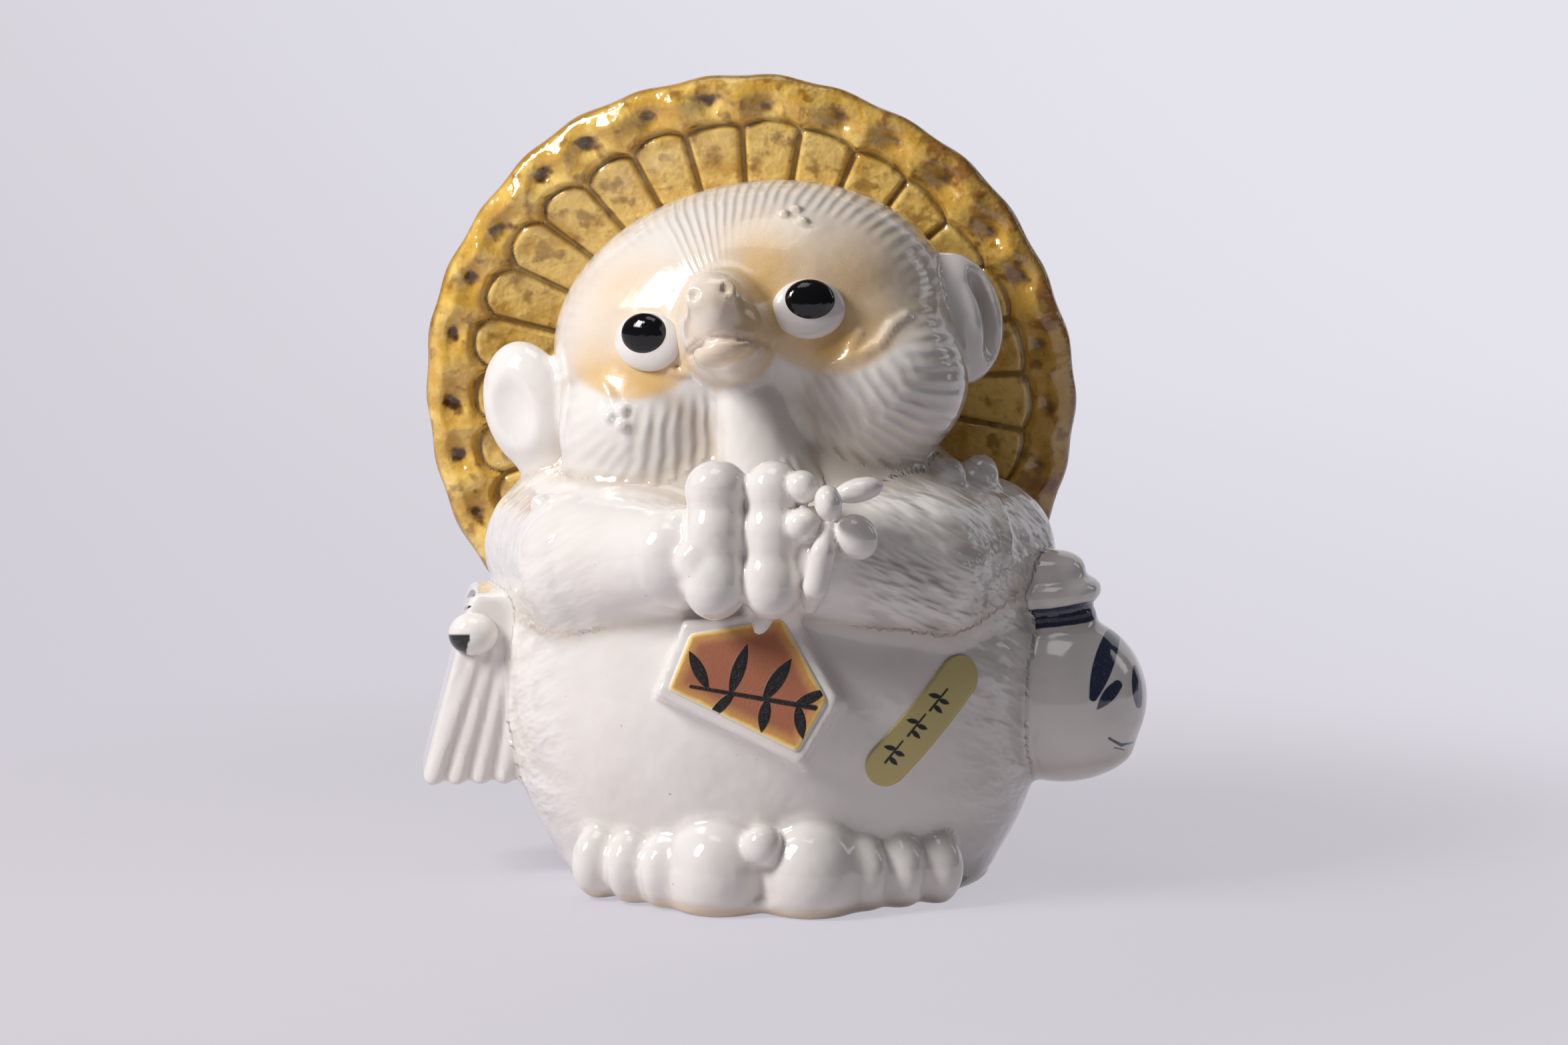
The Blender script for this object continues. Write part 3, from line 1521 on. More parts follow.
@dataclass(frozen=True)
class Plaque:
    """Five-sided plate of bare clay hung on the belly."""

    base: float = 45.0
    shoulder: float = 48.0
    side: float = 20.0
    height: float = 37.0
    proud: float = 5.0
    sunk: float = 8.0
    draft: float = 8.0
    turn: float = 25.0
    aside: float = 2.0
    level: float = 72.0
    bed_margin: float = 2.6
    bed_proud: float = 3.9
    bed_fillet: float = 1.5
    reach: float = 40.0
    rounding: float = 1.6
    voxel: float = 0.7
    drip: Dab = Dab("plaque_cord", (1145, 930), (30, 54), 5.0, -22.0, 0.5, 1.0)
    sprig: tuple[Stroke, ...] = (
        Stroke((1036, 1030), (1222, 1062), 5, 8), Stroke((1060, 1030), (1034, 978), 6, 2, 14),
        Stroke((1096, 1038), (1120, 968), 6, 2, 16), Stroke((1100, 1040), (1062, 1078), 5, 2, 12),
        Stroke((1146, 1048), (1186, 990), 7, 2, 17), Stroke((1150, 1050), (1142, 1098), 6, 2, 14),
        Stroke((1192, 1058), (1240, 1036), 6, 2, 12), Stroke((1196, 1060), (1204, 1108), 6, 2, 13),
    )

    def place(self, body: Body) -> Place:
        """Frame on the belly under the plaque, turned as it hangs."""
        return seat(body.form, (self.aside, 0, self.level), bearing(0.0)).turned("Z", -self.turn)

    def bed(self, body: Body) -> Lump:
        """Glazed bed that frames the plate."""
        return Lump("body", self.form(body, self.bed_margin, self.bed_proud), self.bed_fillet)

    def skin(self, body: Body) -> Skin:
        """The plate's skin with the way in from its edge painted on it.

        Args:
            body: The body that carries the plate.

        Returns:
            The skin.
        """
        skin = Sculpt([Lump("plaque", self.form(body))], self.voxel).skin()
        sides = self.form(body).planes[2:]
        local = self.place(body).inward(skin.points)
        local[:, 2] = self.proud
        gaps = [(local - point) @ (np.array(out) / np.linalg.norm(out)) for point, out in sides]
        skin.marks["rim"] = -np.max(gaps, axis=0)
        return skin

    def form(self, body: Body, grown: float = 0.0, proud: float | None = None) -> Block:
        """The plate.

        Args:
            body: The body that carries it.
            grown: How much wider than the plate.
            proud: How far it stands out, if not as far as the plate.

        Returns:
            The form.
        """
        low = -self.height / 2
        corners = np.array([
            (-self.base / 2, low), (self.base / 2, low), (self.shoulder / 2, low + self.side),
            (0, low + self.height), (-self.shoulder / 2, low + self.side)])
        lean = math.tan(math.radians(self.draft))
        planes = [((0, 0, proud or self.proud), (0, 0, 1)), ((0, 0, -self.sunk), (0, 0, -1))]
        for start, end in zip(corners, np.roll(corners, -1, axis=0)):
            run = end - start
            out = np.array([run[1], -run[0]]) / np.linalg.norm(run)
            foot = start + out * grown
            planes.append(((foot[0], foot[1], -self.sunk), (out[0], out[1], lean)))
        return Block(self.place(body), tuple(planes), self.reach, self.rounding)


@dataclass(frozen=True)
class Label:
    """Paper label with round ends that follows the belly."""

    length: float = 46.0
    width: float = 13.0
    thickness: float = 0.5
    turn: float = 46.0
    bearing: float = 41.5
    level: float = 56.0
    steps: int = 48
    columns: int = 15
    rounds: int = 12
    pace: float = 0.8
    stems: tuple[Pair, ...] = ((1407, 1050), (1374, 1088), (1340, 1128))
    sprig: tuple[Stroke, ...] = (
        Stroke((14, -16), (-12, 16), 3, 4), Stroke((2, 0), (17, 6), 3, 1, 6),
        Stroke((-6, 8), (6, 20), 3, 1, 6), Stroke((4, -4), (-14, -8), 3, 1, 6),
    )

    def sprigs(self) -> list[Stroke]:
        """Leaf sprigs printed along the label, in pixels."""
        return [line.moved(*stem) for stem in self.stems for line in self.sprig]

    def build(self, body: Body, skin: Sculpt) -> bpy.types.Object:
        """Lay the label on the belly.

        Args:
            body: The body that carries it.
            skin: The sculpt that it lies on.

        Returns:
            The label.
        """
        place = seat(body.form, (0, 0, self.level), bearing(self.bearing)).turned("Z", self.turn)
        half, end = self.length / 2, self.width / 2
        across = np.linspace(-1, 1, self.columns)
        rows = np.sin(np.linspace(-math.pi / 2, math.pi / 2, self.steps)) * half
        flat = []
        for x in rows:
            over = max(abs(x) - (half - end), 0.0)
            reach = math.sqrt(max(end * end - over * over, 0.01))
            flat += [(x, reach * y, 0.0) for y in across]
        lifted = place.outward(np.array(flat))
        outward = place.outward(np.array([[0.0, 0.0, 1.0]]))[0] - place.origin
        for _ in range(self.rounds):
            lifted = lifted - outward * skin.measure(lifted)[0][:, None] * self.pace
        normals = skin.slope(lifted)
        top, bottom = lifted + normals * self.thickness, lifted - normals * self.thickness
        count, wide = len(lifted), len(across)
        faces = []
        for row in range(self.steps - 1):
            for column in range(wide - 1):
                a = row * wide + column
                faces.append((a, a + wide, a + wide + 1, a + 1))
                faces.append((count + a, count + a + 1, count + a + wide + 1, count + a + wide))
        rim = (list(range(wide)) + [row * wide + wide - 1 for row in range(1, self.steps)]
               + [(self.steps - 1) * wide + k for k in range(wide - 2, -1, -1)]
               + [row * wide for row in range(self.steps - 2, 0, -1)])
        for a, b in zip(rim, rim[1:] + rim[:1]):
            faces.append((a, b, count + b, count + a))
        return add_mesh("paper_label", np.concatenate([top, bottom]), faces)


# Finishes

class Wire:
    """A number or colour in a material's node tree, with arithmetic."""

    def __init__(self, graph: "Graph", socket: bpy.types.NodeSocket) -> None:
        """Hold one output socket."""
        self.graph = graph
        self.socket = socket

    def _math(self, operation: str, *values: "Wire | float", clamp: bool = False) -> "Wire":
        """One sum on numbers.

        Args:
            operation: The sum's name.
            values: What goes in.
            clamp: Whether to hold the result between 0 and 1.

        Returns:
            The result.
        """
        settings = {"operation": operation, "use_clamp": clamp}
        node = self.graph.node("ShaderNodeMath", settings, dict(enumerate(values)))
        return Wire(self.graph, node.outputs[0])

    def __add__(self, other: "Wire | float") -> "Wire":
        """Sum."""
        return self._math("ADD", self, other)

    def __sub__(self, other: "Wire | float") -> "Wire":
        """Difference."""
        return self._math("SUBTRACT", self, other)

    def __rsub__(self, other: float) -> "Wire":
        """Difference from a number."""
        return self._math("SUBTRACT", other, self)

    def __mul__(self, other: "Wire | float") -> "Wire":
        """Product."""
        return self._math("MULTIPLY", self, other)

    def __truediv__(self, other: "Wire | float") -> "Wire":
        """Quotient."""
        return self._math("DIVIDE", self, other)

    def __rtruediv__(self, other: float) -> "Wire":
        """Quotient of a number by this."""
        return self._math("DIVIDE", other, self)

    __radd__ = __add__
    __rmul__ = __mul__

    def higher(self, other: "Wire | float") -> "Wire":
        """The larger of two."""
        return self._math("MAXIMUM", self, other)

    def held(self) -> "Wire":
        """The value held between 0 and 1."""
        return self._math("ADD", self, 0.0, clamp=True)

    def absolute(self) -> "Wire":
        """The value without its sign."""
        return self._math("ABSOLUTE", self)

    def root(self) -> "Wire":
        """The square root."""
        return self._math("SQRT", self)

    def sine(self) -> "Wire":
        """The sine."""
        return self._math("SINE", self)

    def turn(self, other: "Wire | float") -> "Wire":
        """The angle whose tangent is this over another."""
        return self._math("ARCTAN2", self, other)

    def grade(self, low: float, high: float) -> "Wire":
        """Smooth step from 0 to 1 between two values."""
        node = self.graph.node("ShaderNodeMapRange", {"interpolation_type": "SMOOTHSTEP"},
                               {"Value": self, "From Min": low, "From Max": high})
        return Wire(self.graph, node.outputs["Result"])

    def within(self, low: float, high: float, blur: float) -> "Wire":
        """1 between two values and 0 outside them, over a blur past each."""
        return self.grade(low, low + blur) * (1.0 - self.grade(high, high + blur))


def linear(red: int, green: int, blue: int) -> Triple:
    """A display colour as light."""
    shares = (red / 255, green / 255, blue / 255)
    return tuple(c / 12.92 if c <= 0.04045 else ((c + 0.055) / 1.055) ** 2.4 for c in shares)


class Graph:
    """The node tree of one material."""

    def __init__(self, name: str, holder: bpy.types.ID | None = None) -> None:
        """Start a material with one principled surface, or a world.

        Args:
            name: The material's name.
            holder: The world, where it isn't a material.
        """
        self.material = holder or bpy.data.materials.new(name)
        self.material.use_nodes = True
        self.tree = self.material.node_tree
        self.surface = self.tree.nodes["Background" if holder else "Principled BSDF"]

    def seen(self) -> Wire:
        """1 where the eye, a reflection or a refraction looks, and 0 where light bounces."""
        rays = self.node("ShaderNodeLightPath").outputs
        seen = Wire(self, rays["Is Camera Ray"]).higher(Wire(self, rays["Is Glossy Ray"]))
        return seen.higher(Wire(self, rays["Is Transmission Ray"]))

    def node(self, kind: str, settings: dict | None = None, inputs: dict | None = None) -> bpy.types.Node:
        """Add a node.

        Args:
            kind: The node's type.
            settings: Its settings by name.
            inputs: Its inputs by name or number, each a wire or a constant.

        Returns:
            The node.
        """
        node = self.tree.nodes.new(kind)
        for name, value in (settings or {}).items():
            setattr(node, name, value)
        for name, value in (inputs or {}).items():
            if isinstance(value, Wire):
                self.tree.links.new(value.socket, node.inputs[name])
            elif isinstance(value, tuple) and len(value) == 3 and node.inputs[name].type == "RGBA":
                node.inputs[name].default_value = (*value, 1.0)
            else:
                node.inputs[name].default_value = value
        return node

    def position(self) -> tuple[Wire, Wire, Wire]:
        """The surface point in millimetres of the figure's frame."""
        place = self.node("ShaderNodeTexCoord").outputs["Object"]
        parts = self.node("ShaderNodeSeparateXYZ", None, {0: Wire(self, place)})
        return tuple((Wire(self, parts.outputs[k]) - float(ORIGIN[k])) * (1 / MM) for k in range(3))

    def at(self) -> Wire:
        """The surface point as one vector."""
        return self.vector(*self.position())

    def vector(self, x: Wire | float, y: Wire | float, z: Wire | float) -> Wire:
        """Three numbers as one vector."""
        return Wire(self, self.node("ShaderNodeCombineXYZ", None, {0: x, 1: y, 2: z}).outputs[0])

    def noise(self, at: Wire, scale: float, detail: float = 3.0, rough: float = 0.5) -> Wire:
        """Cloudy noise from 0 to 1.

        Args:
            at: Where to take it.
            scale: Clouds to a unit.
            detail: Octaves.
            rough: Strength of the finer octaves.

        Returns:
            The noise.
        """
        inputs = {"Vector": at, "Scale": scale, "Detail": detail, "Roughness": rough}
        node = self.node("ShaderNodeTexNoise", None, inputs)
        return Wire(self, node.outputs["Fac"])

    def local(self, place: Place) -> tuple[Wire, Wire, Wire]:
        """The surface point in a frame's own millimetres.

        Args:
            place: The frame.

        Returns:
            The three coordinates.
        """
        off = [axis - float(start) for axis, start in zip(self.position(), place.origin)]
        turn = np.array(place.matrix.to_3x3())
        return tuple(sum(off[row] * float(turn[row, k]) for row in range(3)) for k in range(3))

    def pixels(self) -> tuple[Wire, Wire]:
        """Where the surface point shows in the photograph."""
        x, y, z = self.local(PHOTO.view)
        scale = (PHOTO.lens / PHOTO.sensor * PHOTO.width) / (0.0 - z)
        return PHOTO.width / 2 + x * scale, PHOTO.height / 2 - y * scale

    def strokes(self, at: tuple[Wire, Wire], lines: Iterable[Stroke]) -> Wire:
        """Brush strokes as a mask.

        Args:
            at: Where to look, in the strokes' own units.
            lines: The strokes.

        Returns:
            1 inside a stroke and 0 outside.
        """
        total: Wire | float = 0.0
        for line in lines:
            run = np.subtract(line.end, line.start)
            off = at[0] - line.start[0], at[1] - line.start[1]
            share = ((off[0] * float(run[0]) + off[1] * float(run[1])) / float(run @ run)).held()
            gap = (off[0] - share * float(run[0])), (off[1] - share * float(run[1]))
            half = line.start_width / 2 + share * ((line.end_width - line.start_width) / 2)
            half = half + share * (1.0 - share) * (2.0 * line.belly)
            edge = (gap[0] * gap[0] + gap[1] * gap[1]).root() - half
            total = (1.0 - edge.grade(-line.blur, line.blur)).higher(total)
        return total

    def mark(self, name: str) -> Wire:
        """A value painted on the mesh."""
        return Wire(self, self.node("ShaderNodeAttribute", {"attribute_name": name}).outputs["Fac"])

    def mix(self, first: Wire | Triple, second: Wire | Triple, share: Wire | float) -> Wire:
        """Blend of two colours."""
        node = self.node("ShaderNodeMix", {"data_type": "RGBA"}, {0: share, 6: first, 7: second})
        return Wire(self, node.outputs[2])

    def bump(self, height: Wire, distance: float, strength: float = 1.0) -> Wire:
        """Relief as a normal.

        Args:
            height: The relief, about 0 to 1.
            distance: Size of one step of it, in millimetres.
            strength: Share of the effect.

        Returns:
            The normal.
        """
        inputs = {"Strength": strength, "Distance": distance * MM, "Height": height}
        node = self.node("ShaderNodeBump", None, inputs)
        return Wire(self, node.outputs[0])

    def finish(self, constants: dict, **inputs: Wire) -> bpy.types.ID:
        """Feed the surface.

        Args:
            constants: Constant inputs by name.
            inputs: Varying inputs, with underscores for blanks.

        Returns:
            The material or world.
        """
        for name, value in constants.items():
            self.surface.inputs[name].default_value = value
        for name, wire in inputs.items():
            self.tree.links.new(wire.socket, self.surface.inputs[name.replace("_", " ")])
        return self.material


class Glaze(Enum):
    """Display colours of the finishes."""

    white = (238, 232, 227)
    shade = (216, 203, 188)
    dusk = (150, 137, 124)
    spray = (228, 180, 96)
    clay = (214, 188, 152)
    straw = (216, 168, 72)
    pool = (70, 44, 16)
    rust = (160, 90, 34)
    umber = (142, 98, 36)
    cream = (254, 218, 126)
    black = (14, 13, 15)
    blue = (40, 48, 78)
    slate = (92, 98, 116)
    terracotta = (168, 102, 72)
    ochre = (208, 150, 84)
    gold = (206, 190, 128)

    @property
    def light(self) -> Triple:
        """The colour as light."""
        return linear(*self.value)


class Paint:
    """What is brushed on a glaze: nothing, unless a kind of paint says more."""

    def masks(self, graph: Graph) -> list[tuple[Wire, Glaze]]:
        """Masks of the paint and their colours."""
        return []


@dataclass(frozen=True)
class FlaskPaint(Paint):
    """Double band round the flask's neck, with a leaf sprig under it."""

    place: Place
    band: Triple = (46.0, 52.2, 0.5)
    line: Triple = (47.6, 48.7, 0.4)
    line_share: float = 0.12
    wobble: float = 1.2
    front: Pair = (4.0, 6.0)
    leaves: tuple[Stroke, ...] = (
        Stroke((1668, 955), (1640, 1046), 24, 13, 12), Stroke((1676, 1028), (1646, 1064), 15, 2, 10),
        Stroke((1702, 1000), (1708, 1058), 4, 9, 8), Stroke((1664, 1108), (1682, 1118), 4, 5),
        Stroke((1682, 1118), (1700, 1114), 5, 2), Stroke((1672, 1122), (1686, 1125), 2, 2),
    )

    def masks(self, graph: Graph) -> list[tuple[Wire, Glaze]]:
        """See Paint."""
        _, across, up = graph.local(self.place)
        height = up + (graph.noise(graph.at(), 0.12, 1.0) - 0.5) * self.wobble
        neck = height.within(*self.band) - height.within(*self.line) * self.line_share
        sprig = graph.strokes(graph.pixels(), self.leaves) * (1.0 - across.grade(*self.front))
        return [(neck.higher(sprig), Glaze.blue)]


@dataclass(frozen=True)
class BookPaint(Paint):
    """Black cord over the book's back and a sprig on its cover."""

    place: Place
    front: Pair = (-2.0, 0.0)
    cords: tuple[Stroke, ...] = (
        Stroke((708, 890), (692, 893), 11, 12), Stroke((692, 893), (677, 924), 12, 9),
        Stroke((705, 910), (690, 916), 3, 7), Stroke((690, 916), (677, 944), 7, 4),
        Stroke((676, 900), (672, 914), 3, 3),
    )
    sprig: tuple[Stroke, ...] = (
        Stroke((668, 964), (647, 1001), 2, 7, 2), Stroke((671, 968), (665, 996), 3, 6, 3),
        Stroke((664, 998), (636, 1068), 4, 4), Stroke((654, 1002), (642, 1040), 3, 2),
        Stroke((639, 1026), (625, 1056), 3, 8, 2), Stroke((652, 1036), (645, 1054), 5, 2),
        Stroke((636, 1058), (623, 1082), 5, 5), Stroke((636, 1062), (626, 1098), 5, 2),
    )

    def masks(self, graph: Graph) -> list[tuple[Wire, Glaze]]:
        """See Paint."""
        front = graph.local(self.place)[1].grade(*self.front)
        at = graph.pixels()
        inks = ((self.sprig, Glaze.slate), (self.cords, Glaze.black))
        return [(graph.strokes(at, lines) * front, ink) for lines, ink in inks]


@dataclass(frozen=True)
class KnotPaint(Paint):
    """Black end of the book's toggle."""

    edge: Pair = (703.0, 706.0)
    top: Pair = (950.0, 954.0)
    middle: float = 960.0
    slant: float = 0.25
    wobble: float = 10.0

    def masks(self, graph: Graph) -> list[tuple[Wire, Glaze]]:
        """See Paint."""
        wobble = (graph.noise(graph.at(), 0.4, 2.0) - 0.5) * self.wobble
        across, down = graph.pixels()
        end = 1.0 - (across + (down - self.middle) * self.slant + wobble).grade(*self.edge)
        return [(end * down.grade(*self.top), Glaze.black)]


@dataclass(frozen=True)
class WhiteGlaze:
    """White glaze with a tan spray, combed fur, pooled creases and a buff foot rim."""

    name: str
    head: Head
    paint: Paint = Paint()
    rim_waves: float = 84.0
    jowl_waves: float = 130.0
    jowl_top: float = 62.0
    comb_depth: float = 0.42
    strand_depth: float = 4.0
    ripple_depth: float = 0.9
    foot: Pair = (1.0, 5.0)
    gloss: float = 0.09

    def _comb(self, graph: Graph, cloud: Wire) -> tuple[Wire, Wire]:
        """The combed fur of the head.

        Args:
            graph: The material's tree.
            cloud: Noise that bends the strands.

        Returns:
            How strongly the skin is combed, and the strands from 0 to 1.
        """
        rim, jowl = graph.mark("fur"), graph.mark("jowl")
        aside, _, up = graph.local(self.head.place)
        rim_comb = (aside.turn(up) * self.rim_waves + cloud * 9.0).sine() * 0.5 + 0.5
        jowl_comb = (aside.turn(self.jowl_top - up) * self.jowl_waves + cloud * 14.0).sine() * 0.5 + 0.5
        both = rim + jowl
        return both.held(), (rim * rim_comb + jowl * jowl_comb) / both.higher(0.01)

    def material(self) -> bpy.types.Material:
        """The glaze as a material."""
        graph = Graph(self.name)
        x, y, z = graph.position()
        at = graph.vector(x, y, z)
        cloud, grain = graph.noise(at, 0.03, 3.0), graph.noise(at, 2.6, 1.0)
        spray, coat, crease = (graph.mark(mark) for mark in ("spray", "coat", "crease"))
        fur, comb = self._comb(graph, cloud)
        wide = x.absolute()
        along = graph.vector(wide * 0.10 + z * 0.19, y * 0.10, wide * 0.035 - z * 0.02)
        strand = graph.noise(along, 0.9, 2.0)
        colour = graph.mix(Glaze.white.light, Glaze.shade.light, cloud.grade(0.45, 0.9) * 0.3)
        pooled = (fur * (1.0 - comb) * 0.45 + crease * 0.8).held()
        colour = graph.mix(colour, Glaze.shade.light, pooled)
        colour = graph.mix(colour, Glaze.dusk.light, coat * (0.60 - strand).grade(0.04, 0.26) * 0.4)
        dusted = (spray * (0.55 + grain)).held() * 0.9
        colour = graph.mix(colour, Glaze.spray.light, dusted)
        speck = graph.noise(at, 0.45, 1.0).grade(0.80, 0.83)
        colour = graph.mix(colour, Glaze.pool.light, speck * 0.45)
        foot = 1.0 - (z + (cloud - 0.5) * 4.0).grade(*self.foot)
        colour = graph.mix(colour, Glaze.clay.light, foot * 0.75)
        relief = fur * comb * self.comb_depth + coat * strand * self.strand_depth
        relief = relief + graph.noise(at, 0.07, 2.0) * self.ripple_depth + grain * (0.006 + dusted * 0.02)
        streak = (0.90 + graph.noise(at, 1.1, 3.0) * 0.2).held()
        for mask, ink in self.paint.masks(graph):
            colour = graph.mix(colour, ink.light, mask * streak)
        rough = self.gloss + dusted * 0.25 + foot * 0.35
        return graph.finish({"Coat Weight": 0.5, "Coat Roughness": 0.04, "IOR": 1.5}, Base_Color=colour,
                            Roughness=rough, Normal=graph.bump(relief, 1.0))


@dataclass(frozen=True)
class StrawGlaze:
    """Amber glaze that pools dark in the pits and grooves."""

    hat: Hat
    scorch: Pair = (84.0, 95.0)
    lip: Pair = (98.8, 100.6)
    shadow_side: Pair = (-60.0, 80.0)
    gloss: float = 0.12

    def material(self) -> bpy.types.Material:
        """The glaze as a material."""
        graph = Graph("straw_glaze")
        at = graph.at()
        aside, up, _ = graph.local(self.hat.place)
        radius = (aside * aside + up * up).root()
        tile, pit, groove, smudge = (graph.mark(mark) for mark in self.hat.marks)
        cloud = graph.noise(at, 0.10, 3.0, 0.55)
        blot = graph.noise(at, 0.22, 1.6, 0.45)
        fine = graph.noise(at, 0.9, 3.0, 0.6)
        right = aside.grade(*self.shadow_side)
        pale = (cloud + tile * 0.12).grade(0.4, 0.68) * 0.9
        colour = graph.mix(Glaze.straw.light, Glaze.cream.light, pale)
        brushed = (smudge * 0.5 + (blot - 0.5) * 2.2).grade(0.22, 0.66) * 0.6
        colour = graph.mix(colour, Glaze.umber.light, brushed)
        mottle = (blot * 0.6 + cloud * 0.4).grade(0.52, 0.64) * (0.6 - tile * 0.4)
        colour = graph.mix(colour, Glaze.umber.light, mottle)
        colour = graph.mix(colour, Glaze.rust.light, (fine * 0.7 + blot * 0.3).grade(0.56, 0.66) * 0.4)
        burnt = (right * 1.1 + (cloud - 0.5) * 3.0).grade(1.0, 1.4) * radius.grade(*self.scorch)
        colour = graph.mix(colour, Glaze.rust.light, burnt * 0.75)
        colour = graph.mix(colour, Glaze.umber.light, (pit + (blot - 0.5) * 1.4).grade(0.45, 1.0) * 0.75)
        pooled = (pit + (blot - 0.5) * 1.5 + (fine - 0.5) * 0.4 - right * 0.25).grade(0.5, 1.0)
        colour = graph.mix(colour, graph.mix(Glaze.pool.light, Glaze.slate.light, right * 0.5), pooled * 0.92)
        colour = graph.mix(colour, Glaze.pool.light, groove * 0.72)
        colour = graph.mix(colour, Glaze.umber.light, radius.grade(*self.lip) * 0.7)
        relief = cloud * 1.6 + blot * 0.5 + fine * 0.06
        return graph.finish({"Coat Weight": 0.6, "Coat Roughness": 0.03, "Roughness": self.gloss},
                            Base_Color=colour, Normal=graph.bump(relief, 1.0))


@dataclass(frozen=True)
class BareClay:
    """Bare terracotta with a toasted edge, glazed sides and a brushed bamboo sprig."""

    plaque: Plaque
    toasted: Pair = (1.6, 5.0)
    pale: Pair = (0.6, 1.8)
    glazed: Pair = (0.2, 0.7)
    rough: float = 0.62

    def material(self) -> bpy.types.Material:
        """The clay as a material."""
        graph = Graph("bare_clay")
        at, rim = graph.at(), graph.mark("rim")
        cloud, grit = graph.noise(at, 0.12, 3.0), graph.noise(at, 1.6, 4.0, 0.7)
        depth = rim + (cloud - 0.5) * 2.0
        colour = graph.mix(Glaze.ochre.light, Glaze.terracotta.light, depth.grade(*self.toasted))
        colour = graph.mix(colour, Glaze.cream.light, 1.0 - depth.grade(*self.pale))
        colour = graph.mix(colour, Glaze.umber.light, grit.grade(0.6, 0.8) * 0.35)
        ink = graph.strokes(graph.pixels(), self.plaque.sprig) * (0.9 + grit * 0.2).held()
        colour = graph.mix(colour, Glaze.black.light, ink)
        glazed = 1.0 - rim.grade(*self.glazed)
        colour = graph.mix(colour, Glaze.white.light, glazed)
        return graph.finish({}, Base_Color=colour, Roughness=self.rough - ink * 0.3 - glazed * 0.5,
                            Normal=graph.bump(grit * 0.18 + ink * 0.35, 1.0))


@dataclass(frozen=True)
class LabelPaper:
    """Gold paper with printed leaf sprigs."""

    label: Label
    rough: float = 0.38
    metallic: float = 0.15

    def material(self) -> bpy.types.Material:
        """The paper as a material."""
        graph = Graph("label_paper")
        fine = graph.noise(graph.at(), 2.5, 2.0)
        colour = graph.mix(Glaze.gold.light, tuple(c * 0.9 for c in Glaze.gold.light), fine)
        colour = graph.mix(colour, Glaze.black.light, graph.strokes(graph.pixels(), self.label.sprigs()))
        return graph.finish({"Metallic": self.metallic}, Base_Color=colour,
                            Roughness=self.rough + fine * 0.08, Normal=graph.bump(fine, 0.04))


@dataclass(frozen=True)
class BeadGlaze:
    """Glossy glaze of one colour with fine mottling."""

    name: str
    colour: Glaze
    gloss: float = 0.05

    def material(self) -> bpy.types.Material:
        """The glaze as a material."""
        graph = Graph(self.name)
        cloud = graph.noise(graph.at(), 0.6, 3.0)
        tint = graph.mix(self.colour.light, tuple(c * 0.8 for c in self.colour.light), cloud)
        return graph.finish({"Roughness": self.gloss}, Base_Color=tint, Normal=graph.bump(cloud, 0.1))


# Stage

def aim(thing: bpy.types.Object, spot: Array, target: Array) -> None:
    """Place a camera or light and turn it to a point."""
    thing.location = Vector(spot * MM + ORIGIN)
    thing.rotation_euler = Vector((target - spot)).to_track_quat("-Z", "Y").to_euler()


@dataclass(frozen=True)
class Lamp:
    """A soft studio light by its bearing, rise, distance, size and power."""

    name: str
    bearing: float
    rise: float
    distance: float
    size: Pair
    watts: float
    target: Triple = (0.0, 0.0, 110.0)

    def build(self) -> None:
        """Hang the light."""
        data = bpy.data.lights.new(self.name, "AREA")
        data.shape = "RECTANGLE"
        data.size, data.size_y = self.size[0] * MM, self.size[1] * MM
        data.energy = self.watts
        lamp = bpy.data.objects.new(self.name, data)
        bpy.context.scene.collection.objects.link(lamp)
        target = np.array(self.target)
        aim(lamp, target + bearing(self.bearing, self.rise) * self.distance, target)


